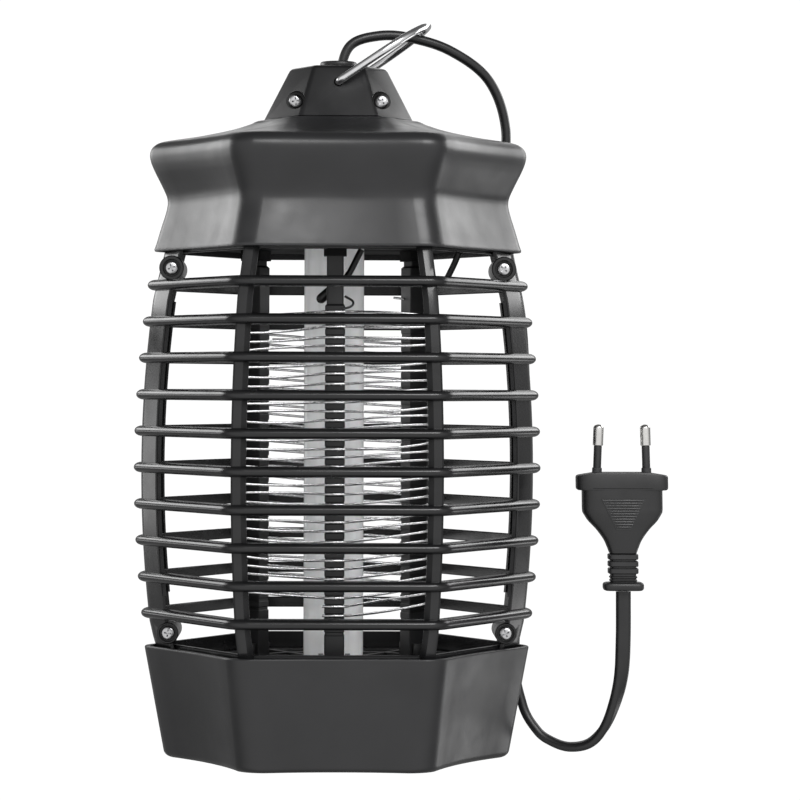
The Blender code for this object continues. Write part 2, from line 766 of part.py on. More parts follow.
def make_electronics(board_green, black, film_red):
    width, depth = BOARD_HALF
    board_top = BOARD_Z + BOARD_THICK
    board = box_outlines((-width, -depth, BOARD_Z), (width, depth, board_top))
    loft("circuit_board", board, board_green)
    seat = board_top + GAP
    loft("transformer", box_outlines((-31, -14, seat), (-10, 10, seat + 13)), black)
    for side, x in (("left", 2), ("right", 15)):
        low, high = (x, -9, seat), (x + 9, 9, seat + 11)
        loft(f"capacitor_{side}", box_outlines(low, high), film_red)


def make_coil_posts(plastic):
    low, high = GRILLE_TOP_Z, CEILING_Z - 2 - GAP
    for place, azimuth in POST_AZIMUTHS.items():
        bar_top = COIL_NECK_Z[place]
        neck_foot = bar_top + COIL_NECK_CHAMFER
        bar = post_block(azimuth, COIL_POST_DEPTH, COIL_POST_WIDTH, low, bar_top)
        neck = post_block(azimuth, COIL_NECK_DEPTH, COIL_NECK_WIDTH, neck_foot, high)
        post = loft(f"coil_post_{place}", bar + neck, plastic)
        bevel = post.modifiers.new("rounded edges", "BEVEL")
        bevel.width = 0.8 * MM
        bevel.segments = 1


def coil_corners():
    """Plan points where a wire turns round the outer corners of the three posts, in order."""
    clearance = COIL_WIRE_RADIUS + GAP
    reach = POST_CIRCLE + COIL_POST_DEPTH / 2 + clearance
    aside = COIL_POST_WIDTH / 2 + clearance
    corners = []
    for azimuth in sorted(POST_AZIMUTHS.values()):
        heading = math.radians(azimuth)
        radial = Vector((math.cos(heading), math.sin(heading)))
        across = Vector((-radial.y, radial.x))
        outside = radial * reach + Vector((INNER_X, 0))
        corners += [outside - across * aside, outside + across * aside]
    return corners


def coil_path(bottom_z, turns):
    """A helix round the posts whose height grows with the length of wire."""
    corners = coil_corners()
    count = len(corners)
    lengths = [(corners[(i + 1) % count] - corners[i]).length for i in range(count)]
    per_turn = sum(lengths)
    path, travelled = [], 0.0
    for index in range(round(turns * count) + 1):
        corner = corners[index % count]
        path.append((corner.x, corner.y, bottom_z + COIL_LEAD * travelled / per_turn))
        travelled += lengths[index % count]
    return path


def make_grid_coils(wire):
    section = round_section(COIL_WIRE_RADIUS, 4)
    lower = coil_path(COIL_BOTTOM_Z, COIL_TURNS)
    sweep("grid_coil_lower", lower, section, wire)
    upper = coil_path(COIL_BOTTOM_Z + COIL_LEAD / 2, COIL_TURNS + 0.7)
    sweep("grid_coil_upper", upper, section, wire)


def make_leads(insulation):
    section = round_section(LEAD_RADIUS, 6)
    front = [
        (8.8, -29, 192.8),
        (7.6, -29, 190.5),
        (3.4, -29, 182.7),
        (-1.8, -29, 178.2),
        (-6.4, -29, 174.3),
    ]
    sweep("hv_lead_front", spline(front, 3), section, insulation)
    right = [
        (46.2, -3, 192.8),
        (44.4, -1.7, 188.4),
        (42.0, 0.5, 183.4),
        (40.6, 5, 180.8),
        (39.2, 11.5, 180.4),
    ]
    sweep("hv_lead_right", spline(right, 3), section, insulation)


# ---------------------------------------------------------------- cord and plug


def cord_knots():
    """From inside the cap, over through the bail, down behind the cage and up to the plug."""
    end_x = PLUG_X + PLUG_LEAN * (PLUG_TOP_Z - PLUG_FOOT_Z)
    return [
        (0, 0, 247),
        (0.8, 0, 262),
        (4.5, 0.3, 272),
        (14, 1.5, 275.7),
        (26, 4.5, 275.8),
        (43, 10, 271.2),
        (58.4, 17, 260.2),
        (65.2, 20.8, 241),
        (63.2, 22, 215),
        (66.6, 21.4, 193),
        (72.2, 20, 160),
        (73.3, 19, 95),
        (69.4, 22, 40),
        (72.2, 20.5, 18.5),
        (77.8, 17.5, 8.2),
        (83.6, 15, 4),
        (90.3, 11.5, 2.3),
        (97.6, 7.5, 4.2),
        (103, 4.5, 10.4),
        (106.8, 2.4, 20),
        (109.2, 1, 31),
        (end_x, 0, 45),
        (end_x, 0, PLUG_FOOT_Z - 0.4),
    ]


def cord_broad_side(point):
    """The cord lies flat behind the lantern, then turns its broad side to the front."""
    if point.x < CORD_TURN_X:
        return Vector((0, 1, 0))
    turned = min(1.0, max(0.0, (point.z - CORD_TURN_LOW_Z) / CORD_TURN_HEIGHT))
    angle = math.radians(90) * turned
    return Vector((math.sin(angle), math.cos(angle), 0))


def cord_section():
    half_wide, half_narrow = CORD_WIDE / 2, CORD_NARROW / 2
    center = half_wide - half_narrow
    section = []
    for side, start in ((1, -90), (-1, 90)):
        for step in range(4):
            angle = math.radians(start + 60 * step)
            across = side * center + half_narrow * math.cos(angle)
            section.append((across, half_narrow * math.sin(angle)))
    return section


def make_cord(rubber):
    path = spline(cord_knots(), 3)
    rows = []
    for index, point in enumerate(path):
        ahead = path[min(index + 1, len(path) - 1)]
        behind = path[max(index - 1, 0)]
        tangent = (ahead - behind).normalized()
        broad = cord_broad_side(point)
        broad = (broad - tangent * broad.dot(tangent)).normalized()
        narrow = tangent.cross(broad)
        rows.append([tuple(point + broad * a + narrow * b) for a, b in cord_section()])
    return loft("power_cord", rows, rubber)


def oval(half_width, half_depth, z, steps=16, squareness=0.45):
    """A rounded rectangle as a superellipse, set over to follow the plug's lean."""
    points = []
    middle = PLUG_LEAN * (PLUG_TOP_Z - z)
    for step in range(steps):
        angle = math.tau * step / steps
        c, s = math.cos(angle), math.sin(angle)
        x = half_width * math.copysign(abs(c) ** squareness, c)
        y = half_depth * math.copysign(abs(s) ** squareness, s)
        points.append((middle + x, y, z))
    return points


def plug_sections():
    """Half width, half depth and height up the plug: end flange, ribs, grip body and flange."""
    sections = [(6.8, 4.4, PLUG_FOOT_Z), (7.8, 5.2, 64.6), (7.8, 5.2, 65.9), (6.8, 4.4, 66.8)]
    for half_width, foot, top in PLUG_RIBS:
        half_depth = half_width - 1.2
        sections += [(4.9, 3.9, foot), (half_width, half_depth, foot)]
        sections += [(half_width, half_depth, top), (4.9, 3.9, top)]
    sections += [(5.3, 4.8, 78.2), (5.9, 5.0, 80.0), (7.0, 5.4, 82.8), (10.1, 6.0, 87.1)]
    sections += [(13.4, 6.5, 90.6), (15.3, 6.85, 93.6), (15.3, 6.85, 102.0), (17.2, 6.85, 102.2)]
    sections += [(17.6, 6.85, 102.8), (17.6, 6.85, 107.8), (12.0, 6.4, PLUG_TOP_Z)]
    return sections


def pin_place(side):
    return (PLUG_X + side * PIN_SPACING / 2, 0, PLUG_TOP_Z)


def lean_in(item, side):
    item.rotation_euler = (0, -side * PIN_LEAN, 0)
    return item


def make_plug(rubber, nickel):
    outlines = [oval(wide, deep, z) for wide, deep, z in plug_sections()]
    body = loft("plug_body", outlines, rubber, location=(PLUG_X, 0, 0))
    for name, side in (("left", -1), ("right", 1)):
        place = pin_place(side)
        profile = [(SLEEVE_RADIUS + GAP, -6.5), (SLEEVE_RADIUS + GAP, 4)]
        hole = lathe(f"guide_pin_hole_{name}", profile, rubber, 12, place)
        combine(body, lean_in(hole, side), "DIFFERENCE")
        make_pin(name, side, rubber, nickel)


def make_pin(name, side, rubber, nickel):
    """A pin whose shank is thinner where the sleeve covers it; the sleeve has a foot collar."""
    place = pin_place(side)
    tip = PIN_TIP_Z - PLUG_TOP_Z
    bare = tip - 8.2
    sleeve_top = bare - GAP
    sleeve = [
        (SLEEVE_RADIUS, -6),
        (SLEEVE_RADIUS, COLLAR_LIFT),
        (COLLAR_RADIUS, COLLAR_LIFT),
        (COLLAR_RADIUS, COLLAR_LIFT + COLLAR_HEIGHT),
        (SLEEVE_RADIUS, COLLAR_LIFT + COLLAR_HEIGHT),
        (SLEEVE_RADIUS, sleeve_top),
        (PIN_SHANK_RADIUS + GAP, sleeve_top),
        (PIN_SHANK_RADIUS + GAP, -6),
    ]
    lean_in(lathe(f"pin_sleeve_{name}", sleeve, rubber, 12, place, closed=True), side)
    pin = [
        (PIN_SHANK_RADIUS, -6),
        (PIN_SHANK_RADIUS, bare),
        (PIN_RADIUS, bare),
        (PIN_RADIUS, tip - 1.5),
        (0.87 * PIN_RADIUS, tip - 0.75),
        (0.5 * PIN_RADIUS, tip - 0.2),
        (0.1 * PIN_RADIUS, tip),
    ]
    lean_in(lathe(f"plug_pin_{name}", pin, nickel, 12, place), side)


def main():
    clear_scene()
    shell = make_material("black_abs", (0.018, 0.018, 0.019), 0.38)
    rubber = make_material("black_pvc", (0.014, 0.014, 0.015), 0.45)
    inner = make_material("inner_abs", (0.012, 0.012, 0.013), 0.5)
    steel = make_material("bright_steel", (0.75, 0.75, 0.76), 0.18, 1.0)
    wire = make_material("grid_steel", (0.62, 0.62, 0.63), 0.3, 1.0)
    glass = make_material("lamp_glass", (0.86, 0.87, 0.88), 0.25)
    ceramic = make_material("lamp_base_white", (0.7, 0.7, 0.68), 0.5)
    board_green = make_material("board_laminate", (0.03, 0.12, 0.05), 0.5)
    film_red = make_material("capacitor_film", (0.3, 0.05, 0.03), 0.4)

    make_catch_tray(shell)
    make_hood(shell)
    make_cage_front(shell)
    make_cage_rear(shell)
    make_cage_screws(steel)
    make_cap_front(shell)
    make_cap_rear(shell)
    make_cap_screws(steel)
    make_bail(steel)
    make_grommet(rubber)
    make_floor_grille(inner)
    make_ceiling_plate(inner)
    make_lamp_tube(glass)
    make_lamp_base(ceramic)
    make_lamp_socket(inner)
    make_electronics(board_green, inner, film_red)
    make_coil_posts(inner)
    make_grid_coils(wire)
    make_leads(rubber)
    make_cord(rubber)
    make_plug(rubber, steel)


main()
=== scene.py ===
"""Looks of the hanging electric bug zapper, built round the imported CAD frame.

Lengths are in millimetres and become metres when a mesh is made. The origin is the centre of
the tray's underside, +Z is up and the front faces -Y.
"""

import json
import math
import random

import bmesh
import bpy
from mathutils import Matrix, Vector


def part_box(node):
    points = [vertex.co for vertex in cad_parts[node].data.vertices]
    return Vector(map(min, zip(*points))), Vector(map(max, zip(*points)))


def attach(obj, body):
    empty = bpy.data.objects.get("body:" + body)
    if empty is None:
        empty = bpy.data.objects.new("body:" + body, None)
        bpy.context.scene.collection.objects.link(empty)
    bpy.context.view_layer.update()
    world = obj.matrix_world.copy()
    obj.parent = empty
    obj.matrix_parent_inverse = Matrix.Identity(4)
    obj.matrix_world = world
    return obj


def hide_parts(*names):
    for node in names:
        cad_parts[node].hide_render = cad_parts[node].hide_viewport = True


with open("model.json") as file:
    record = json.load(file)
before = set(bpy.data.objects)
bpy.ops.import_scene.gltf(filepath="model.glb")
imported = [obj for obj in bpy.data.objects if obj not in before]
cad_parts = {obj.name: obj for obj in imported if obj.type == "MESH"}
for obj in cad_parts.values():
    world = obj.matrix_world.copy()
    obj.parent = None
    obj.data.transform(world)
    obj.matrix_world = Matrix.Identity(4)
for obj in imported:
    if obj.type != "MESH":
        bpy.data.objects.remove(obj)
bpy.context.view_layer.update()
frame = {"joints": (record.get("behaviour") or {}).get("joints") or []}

MM = 0.001
COS30 = math.cos(math.radians(30))
HOUSING, BAIL, TRAY = "housing", "bail", "tray"


def cad_low(node):
    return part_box(node)[0] / MM


def cad_high(node):
    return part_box(node)[1] / MM


CORNER = 11.0  # radius of the corners of the hexagonal hood, cage and tray
SEAM = 0.15  # half the gap between the two cage halves and the two cap halves

# Heights and widths read from the frame
TRAY_HEIGHT = cad_high("catch_tray").z
TRAY_RIM = cad_high("catch_tray").x
HOOD_FOOT = cad_low("hood").z
HOOD_TOP = cad_high("hood").z
CAGE_FOOT = cad_low("cage_front").z
CAGE_HEAD = cad_high("cage_front").z
LAMP_LOW, LAMP_HIGH = cad_low("lamp_tube").z, cad_high("lamp_tube").z
CAP_TOP = cad_high("cap_front").z
PLUG_FOOT, PLUG_TOP = cad_low("plug_body").z, cad_high("plug_body").z
BAIL_JOINT = next(joint for joint in frame["joints"] if joint["name"] == "bail_swing")
BAIL_PIVOT_Z = BAIL_JOINT["pos_m"][2] / MM

# Cage
BARREL_HALF_WIDTH = 77.9
BARREL_MIDDLE = 109.0
BARREL_ARC = 490.0  # radius of the barrel's curved side
CAGE_FOOT_HALF_WIDTH = 66.8
CAGE_HEAD_HALF_WIDTH = 65.0
RING_COUNT = 10
RING_PITCH = 13.9
RING_TOP = 180.0
RING_HEIGHT = 4.1
RING_DEPTH = 4.8
POST_INSET = 2.9
POST_WALL = 1.5
POST_REACH = 16.0
RING_BEAD = 3.0  # depth of the ring's rounded outer part
BOSS_Y = 14.5
BOSS_LEVELS = ((186.2, 62.9, 4.7), (48.0, 64.0, 4.1))  # height, sideways place and radius

# Hood, ceiling plate and grille
HOOD_WALL = 2.2
HOOD_DISH = 1.6  # how far the sides are dished below the dome
PLATE_HALF_WIDTH = 61
LAMP_HOLE = 12.6
CEILING_FOOT, CEILING_TOP = 194.0, 196.4

# Hanger cap and bail
CAP_FOOT_HALF, CAP_TOP_HALF = 28.5, 18.2
CAP_ROUNDING = 1.4
BAIL_WIRE_RADIUS = 1.45
BAIL_ARM_Y = 22.0
BAIL_REACH = 41.0
BAIL_BEND = 2.6
BAIL_END_Y = 12.5
BAIL_REST_TILT = math.radians(56)

# Lamp and wire grid, a little left of the housing's axis
INNER_X = -1.0
LAMP_X = -1.4
POST_CIRCLE = 35.6
POST_DEPTH, POST_WIDTH = 8.2, 7.5
NECK_DEPTH, NECK_WIDTH = 6.5, 6.3
NECK_Z = {"front": 171.4, "rear_right": 187.4, "rear_left": 187.4}
POST_AZIMUTHS = {"front": -90, "rear_right": 30, "rear_left": 150}
COIL_LEAD = 6.9
COIL_BOTTOM = 56.5
COIL_TOP = 171.0
FREE_SPAN = 20.0  # post corners further apart than this have a free span of wire between them
SPAN_SHARES = (0.19, 0.64, 0.17)  # of a turn's rise, on the right, behind and on the left
NOTCH_SHARES = {"front": 0.0, "rear_right": 0.19, "rear_left": 0.83}
WIRE_RADIUS = 0.5

# Cord and plug
CORD_WIDE, CORD_NARROW = 5.8, 3.6
CORD_TURN_X = 95.0  # beyond this the cord turns its broad side to the front as it rises
CORD_TURN_LOW_Z = 6.0
CORD_TURN_HEIGHT = 34.0
PLUG_X = 109.0  # where the leaning plug's axis meets its top
PLUG_LEAN = 0.018
PLUG_HALF_DEPTH = 6.85
FLANGE_HALF_WIDTH = 17.6
PLUG_NECK = (4.9, 3.9)  # half width and half depth between the ribs
GRIP_FULL_Z = 93.6  # the grip has its full depth from here up
SHIELD_FOOT, SHIELD_HEIGHT, SHIELD_RAISE = 87.0, 11.9, 0.2
PIN_SPACING = 19.0


# ---- mesh helpers ----


def build(name, points, faces, material, sharp):
    """A smooth-shaded object; edges that turn by more than the sharp angle, in degrees, stay hard."""
    mesh = bpy.data.meshes.new(name)
    mesh.from_pydata([Vector(point) * MM for point in points], [], faces)
    shape = bmesh.new()
    shape.from_mesh(mesh)
    bmesh.ops.remove_doubles(shape, verts=shape.verts, dist=1e-6)
    bmesh.ops.recalc_face_normals(shape, faces=shape.faces)
    shape.to_mesh(mesh)
    shape.free()
    mesh.shade_smooth()
    mesh.set_sharp_from_angle(angle=math.radians(sharp))
    mesh.materials.append(material)
    item = bpy.data.objects.new(name, mesh)
    bpy.context.scene.collection.objects.link(item)
    return item


def loft_faces(rows, columns, closed, start):
    """Quads from row to row; a loft that isn't closed into a ring gets two end faces."""
    faces = []
    for row in range(rows if closed else rows - 1):
        above = (row + 1) % rows
        for column in range(columns):
            beside = (column + 1) % columns
            corners = ((row, column), (row, beside), (above, beside), (above, column))
            faces.append([start + r * columns + c for r, c in corners])
    if not closed:
        faces.append([start + column for column in reversed(range(columns))])
        faces.append([start + (rows - 1) * columns + column for column in range(columns)])
    return faces


def loft_many(name, solids, material, closed=False, sharp=35):
    points, faces = [], []
    for outlines in solids:
        faces += loft_faces(len(outlines), len(outlines[0]), closed, len(points))
        points += [point for outline in outlines for point in outline]
    return build(name, points, faces, material, sharp)


def loft(name, outlines, material, closed=False, sharp=35):
    return loft_many(name, [outlines], material, closed, sharp)


def direction(angle):
    return Vector((math.cos(angle), math.sin(angle)))


def round_section(radius, sides):
    angles = [math.tau * side / sides for side in range(sides)]
    return [(radius * math.cos(a), radius * math.sin(a)) for a in angles]


def circle(radius, z, steps=32, center=(0, 0)):
    return [(center[0] + a, center[1] + b, z) for a, b in round_section(radius, steps)]


def circle_y(radius, y, x, z):
    return [(x + a, y, z + b) for a, b in round_section(radius, 32)]


def squarish(half_a, half_b, power, steps):
    """A rounded rectangle; a lower power makes it squarer."""
    points = []
    for step in range(steps):
        angle = math.tau * step / steps
        c, s = math.cos(angle), math.sin(angle)
        a, b = math.copysign(abs(c) ** power, c), math.copysign(abs(s) ** power, s)
        points.append((half_a * a, half_b * b))
    return points


def prism(corners, z0, z1):
    """The two end outlines of an upright block."""
    return [[(x, y, z) for x, y in corners] for z in (z0, z1)]


def box_rows(low, high):
    (x0, y0, z0), (x1, y1, z1) = low, high
    return prism(((x0, y0), (x1, y0), (x1, y1), (x0, y1)), z0, z1)


def rod_rows(radius, z0, z1, center=(0, 0)):
    return [circle(radius, z, center=center) for z in (z0, z1)]


def lathe(name, profile, material, steps=32, closed=False):
    return loft(name, [circle(radius, z, steps) for radius, z in profile], material, closed)


def spline(knots, steps):
    """A Catmull-Rom curve through the knots."""
    knots = [Vector(knot) for knot in knots]
    ends = [2 * knots[0] - knots[1], *knots, 2 * knots[-1] - knots[-2]]
    points = []
    for a, b, c, d in zip(ends, ends[1:], ends[2:], ends[3:]):
        for step in range(steps):
            t = step / steps
            curve = 2 * b + (c - a) * t + (2 * a - 5 * b + 4 * c - d) * t**2
            points.append((curve + (3 * b - a - 3 * c + d) * t**3) / 2)
    return [*points, knots[-1]]


def arc_pairs(center, radius, start, end, steps):
    """(across, up) points of an arc."""
    pairs = []
    for step in range(steps + 1):
        angle = math.radians(start + (end - start) * step / steps)
        pairs.append((center[0] + radius * math.cos(angle), center[1] + radius * math.sin(angle)))
    return pairs


def hexagon(half_width, z, corner=CORNER, dish=0.0, arc_steps=10):
    """A hexagon with rounded corners; half_width is measured at a side corner."""
    points = []
    middle, side_steps = half_width - corner, 8
    for index in range(6):
        heading = math.radians(60 * index)
        center = direction(heading) * middle
        for step in range(arc_steps + 1):
            angle = heading + math.radians(60 * step / arc_steps - 30)
            points.append(center + direction(angle) * corner)
        following = math.radians(60 * (index + 1))
        outward = direction(heading + math.pi / 6)
        side_start = center + outward * corner
        side_end = direction(following) * middle + outward * corner
        for step in range(1, side_steps if dish else 1):
            t = step / side_steps
            sag = dish * (1 - (2 * t - 1) ** 2)
            points.append(side_start.lerp(side_end, t) - outward * sag)
    return [(point.x, point.y, z) for point in points]


def headings(path):
    """The direction of the path at each of its points."""
    ahead, behind = [*path[1:], path[-1]], [path[0], *path[:-1]]
    return [(a - b).normalized() for a, b in zip(ahead, behind)]


def sweep_rows(path, section):
    """A section of (across, up) points carried along a path without twisting."""
    path = [Vector(point) for point in path]
    side = (path[1] - path[0]).normalized().orthogonal()
    rows = []
    for point, tangent in zip(path, headings(path)):
        side = (side - tangent * side.dot(tangent)).normalized()
        up = tangent.cross(side)
        rows.append([tuple(point + side * a + up * b) for a, b in section])
    return rows


def wire(name, path, radius, material, sides):
    return loft(name, sweep_rows(path, round_section(radius, sides)), material, sharp=60)


def blunt_rod(start, end, radius):
    """The rows of a straight rod with rounded ends."""
    start, end = Vector(start), Vector(end)
    along = (end - start).normalized()
    side = along.orthogonal().normalized()
    up = along.cross(side)
    rows = []
    for foot, sign, angles in ((start, -1, (80, 55, 25, 0)), (end, 1, (0, 25, 55, 80))):
        for degrees in angles:
            turn = math.radians(degrees)
            center = foot + along * (sign * radius * math.sin(turn))
            ring = round_section(radius * math.cos(turn), 16)
            rows.append([tuple(center + side * a + up * b) for a, b in ring])
    return rows


def settle(item, sharp=35):
    """Applies the modifiers and shades the result."""
    graph = bpy.context.evaluated_depsgraph_get()
    mesh = bpy.data.meshes.new_from_object(item.evaluated_get(graph))
    item.modifiers.clear()
    old = item.data
    item.data = mesh
    bpy.data.meshes.remove(old)
    mesh.shade_smooth()
    mesh.set_sharp_from_angle(angle=math.radians(sharp))
    return item


def combine(base, solids, operation, sharp):
    """An applied Boolean with lofted solids, which are used up."""
    other = loft_many("guide", solids, base.data.materials[0])
    modifier = base.modifiers.new("combine", "BOOLEAN")
    modifier.operation = operation
    modifier.object = other
    settle(base, sharp)
    bpy.data.objects.remove(other, do_unlink=True)


def cut(base, solids, sharp=35):
    combine(base, solids, "DIFFERENCE", sharp)


def merge(base, solids, sharp=35):
    combine(base, solids, "UNION", sharp)


def soften(item, width, segments=2):
    """Rounds the piece's hard edges."""
    bevel = item.modifiers.new("soften", "BEVEL")
    bevel.width = width * MM
    bevel.segments = segments
    bevel.limit_method = "ANGLE"
    bevel.angle_limit = math.radians(40)
    bevel.harden_normals = False
    return settle(item)


def install(item, slot, *nodes, body=HOUSING):
    """Puts a finished piece on its body, in place of the CAD nodes it stands for, if any."""
    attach(item, body)
    if nodes:
        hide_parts(*nodes)


# ---- materials ----


def range_node(tree, low, high, start, end):
    """A node that turns low..high into start..end."""
    node = tree.nodes.new("ShaderNodeMapRange")
    for name, value in (("From Min", low), ("From Max", high), ("To Min", start), ("To Max", end)):
        node.inputs[name].default_value = value
    return node


class Finish:
    """A Principled material with the few nodes that every finish here is made from."""

    def __init__(self, name, color, roughness, metallic=0.0):
        self.material = bpy.data.materials.new(name)
        self.material.use_nodes = True
        self.tree = self.material.node_tree
        self.shader = self.tree.nodes["Principled BSDF"]
        self.set("Base Color", (*color, 1.0))
        self.set("Roughness", roughness)
        self.set("Metallic", metallic)
        self.place = self.add("ShaderNodeTexCoord").outputs["Object"]

    def add(self, kind, **settings):
        node = self.tree.nodes.new(kind)
        for key, value in settings.items():
            setattr(node, key, value)
        return node

    def link(self, source, target):
        self.tree.links.new(source, target)

    def set(self, name, value):
        self.shader.inputs[name].default_value = value

    def noise(self, scale, detail=3.0, stretch=(1, 1, 1)):
        mapping = self.add("ShaderNodeMapping")
        mapping.inputs["Scale"].default_value = stretch
        self.link(self.place, mapping.inputs["Vector"])
        noise = self.add("ShaderNodeTexNoise")
        noise.inputs["Scale"].default_value = scale
        noise.inputs["Detail"].default_value = detail
        self.link(mapping.outputs["Vector"], noise.inputs["Vector"])
        return noise.outputs["Fac"]

    def remap(self, source, low, high, source_low=0.3, source_high=0.7):
        node = range_node(self.tree, source_low, source_high, low, high)
        self.link(source, node.inputs["Value"])
        return node.outputs["Result"]

    def vary_roughness(self, source, low, high):
        self.link(self.remap(source, low, high), self.shader.inputs["Roughness"])

    def vary_color(self, source, dark, light):
        mix = self.add("ShaderNodeMix", data_type="RGBA")
        mix.inputs["A"].default_value = (*dark, 1.0)
        mix.inputs["B"].default_value = (*light, 1.0)
        self.link(self.remap(source, 0, 1), mix.inputs["Factor"])
        self.link(mix.outputs["Result"], self.shader.inputs["Base Color"])
        return mix

    def bump(self, source, depth, strength):
        bump = self.add("ShaderNodeBump")
        bump.inputs["Strength"].default_value = strength
        bump.inputs["Distance"].default_value = depth * MM
        self.link(source, bump.inputs["Height"])
        self.link(bump.outputs["Normal"], self.shader.inputs["Normal"])

    def painted_edge_highlight(self, mix, light):
        """Raised edges painted lighter, a painted highlight where the edges catch the light."""
        geometry = self.add("ShaderNodeNewGeometry")
        edge_highlight_mask = self.remap(geometry.outputs["Pointiness"], 0.0, 1.0, 0.53, 0.62)
        over = self.add("ShaderNodeMix", data_type="RGBA")
        self.link(edge_highlight_mask, over.inputs["Factor"])
        self.link(mix.outputs["Result"], over.inputs["A"])
        over.inputs["B"].default_value = (*light, 1.0)
        self.link(over.outputs["Result"], self.shader.inputs["Base Color"])


def scaled(color, factor):
    return tuple(min(1.0, channel * factor) for channel in color)


def moulded(name, color, roughness, grain=0.012, grain_scale=1500.0):
    """Moulded plastic: fine grain, broad patches of shine and raised edges painted lighter as a painted
    highlight.
    """
    finish = Finish(name, color, roughness)
    patches = finish.noise(38.0, 4.0)
    mix = finish.vary_color(patches, scaled(color, 0.82), scaled(color, 1.2))
    # raised edges painted lighter: a painted highlight, not wear
    finish.painted_edge_highlight(mix, scaled(color, 2.2))
    finish.vary_roughness(finish.noise(85.0, 5.0), roughness - 0.05, roughness + 0.06)
    finish.bump(finish.noise(grain_scale, 2.0), grain, 0.6)
    finish.set("IOR", 1.5)
    return finish.material


def dull_plastic():
    """Matt black plastic that barely mirrors the backdrop at a glancing angle."""
    finish = Finish("ceiling_plastic", (0.006, 0.006, 0.0065), 0.6)
    finish.vary_color(finish.noise(60.0), (0.005, 0.005, 0.0055), (0.008, 0.008, 0.0085))
    finish.bump(finish.noise(1100.0, 2.0), 0.01, 0.6)
    finish.set("Specular IOR Level", 0.12)
    return finish.material


def polished(name, color, low, high, streak=(1, 1, 12)):
    """Bright metal with fine drawn streaks."""
    finish = Finish(name, color, low, 1.0)
    streaks = finish.noise(900.0, 3.0, streak)
    finish.vary_color(finish.noise(160.0, 2.0), scaled(color, 0.86), color)
    finish.vary_roughness(streaks, low, high)
    finish.bump(streaks, 0.004, 0.35)
    return finish.material


def lamp_glass():
    """White phosphor behind clear glass, with faint streaks along the tube and a faint painted glow for
    backdrop light shining through the unlit tube.
    """
    finish = Finish("lamp_glass", (0.74, 0.75, 0.76), 0.22)
    streaks = finish.noise(220.0, 3.0, (1, 1, 0.04))
    finish.vary_color(streaks, (0.62, 0.63, 0.64), (0.84, 0.85, 0.86))
    finish.vary_roughness(finish.noise(60.0), 0.18, 0.28)
    finish.set("Coat Weight", 1.0)
    finish.set("Coat Roughness", 0.04)
    finish.set("Subsurface Weight", 0.15)
    finish.set("Subsurface Scale", 0.002)
    # painted glow: emission stands in for backdrop light shining through the unlit tube
    finish.set("Emission Color", (1.0, 1.0, 1.0, 1.0))
    finish.set("Emission Strength", 0.16)
    return finish.material


def soft_vinyl(name, color, roughness):
    """Cord and plug PVC: satin with an extruded grain."""
    finish = Finish(name, color, roughness)
    mix = finish.vary_color(finish.noise(70.0, 3.0), scaled(color, 0.8), scaled(color, 1.25))
    # raised edges painted lighter: a painted highlight, not wear
    finish.painted_edge_highlight(mix, scaled(color, 2.0))
    finish.vary_roughness(finish.noise(140.0, 4.0), roughness - 0.06, roughness + 0.08)
    finish.bump(finish.noise(2200.0, 2.0), 0.01, 0.5)
    return finish.material


def laminate():
    """Circuit board with a faint weave and copper tracks under green resist."""
    finish = Finish("board_laminate", (0.03, 0.13, 0.06), 0.35)
    wave = finish.add("ShaderNodeTexWave", wave_type="BANDS", bands_direction="DIAGONAL")
    wave.inputs["Scale"].default_value = 120.0
    wave.inputs["Distortion"].default_value = 3.0
    finish.link(finish.place, wave.inputs["Vector"])
    finish.vary_color(wave.outputs["Fac"], (0.02, 0.1, 0.045), (0.05, 0.19, 0.08))
    finish.bump(finish.noise(1800.0), 0.01, 0.4)
    return finish.material


MATERIALS = {
    "shell": moulded("shell_plastic", (0.015, 0.015, 0.016), 0.34, 0.016, 1300.0),
    "cap": moulded("cap_plastic", (0.006, 0.006, 0.0065), 0.32, 0.016, 1300.0),
    "cage": moulded("cage_plastic", (0.008, 0.008, 0.0085), 0.22, 0.006, 900.0),
    "ceiling": dull_plastic(),
    "inner": moulded("inner_plastic", (0.007, 0.007, 0.0075), 0.35, 0.008),
    "screw": polished("screw_steel", (0.62, 0.62, 0.63), 0.22, 0.38, (3, 3, 3)),
    "chrome": polished("bail_chrome", (0.84, 0.84, 0.85), 0.06, 0.16),
    "wire": polished("grid_steel", (0.86, 0.86, 0.87), 0.16, 0.32),
    "nickel": polished("pin_nickel", (0.78, 0.77, 0.75), 0.12, 0.24, (2, 2, 6)),
    "glass": lamp_glass(),
    "lamp_base": moulded("lamp_base_plastic", (0.7, 0.7, 0.67), 0.45),
    "board": laminate(),
    "capacitor": moulded("capacitor_film", (0.33, 0.06, 0.04), 0.3),
    "lead": soft_vinyl("lead_insulation", (0.007, 0.007, 0.007), 0.3),
    "cord": soft_vinyl("cord_pvc", (0.01, 0.01, 0.0105), 0.36),
    "plug": soft_vinyl("plug_pvc", (0.012, 0.012, 0.0125), 0.4),
    "sleeve": moulded("sleeve_plastic", (0.02, 0.02, 0.021), 0.42),
    "copper": polished("copper_winding", (0.72, 0.33, 0.18), 0.22, 0.36),
}


# ---- catch tray ----


def tray_dish(z):
    """The sides curve in more at the foot than at the rim."""
    at_foot, at_rim = 2.8, 1.2
    return at_foot + (at_rim - at_foot) * z / TRAY_HEIGHT


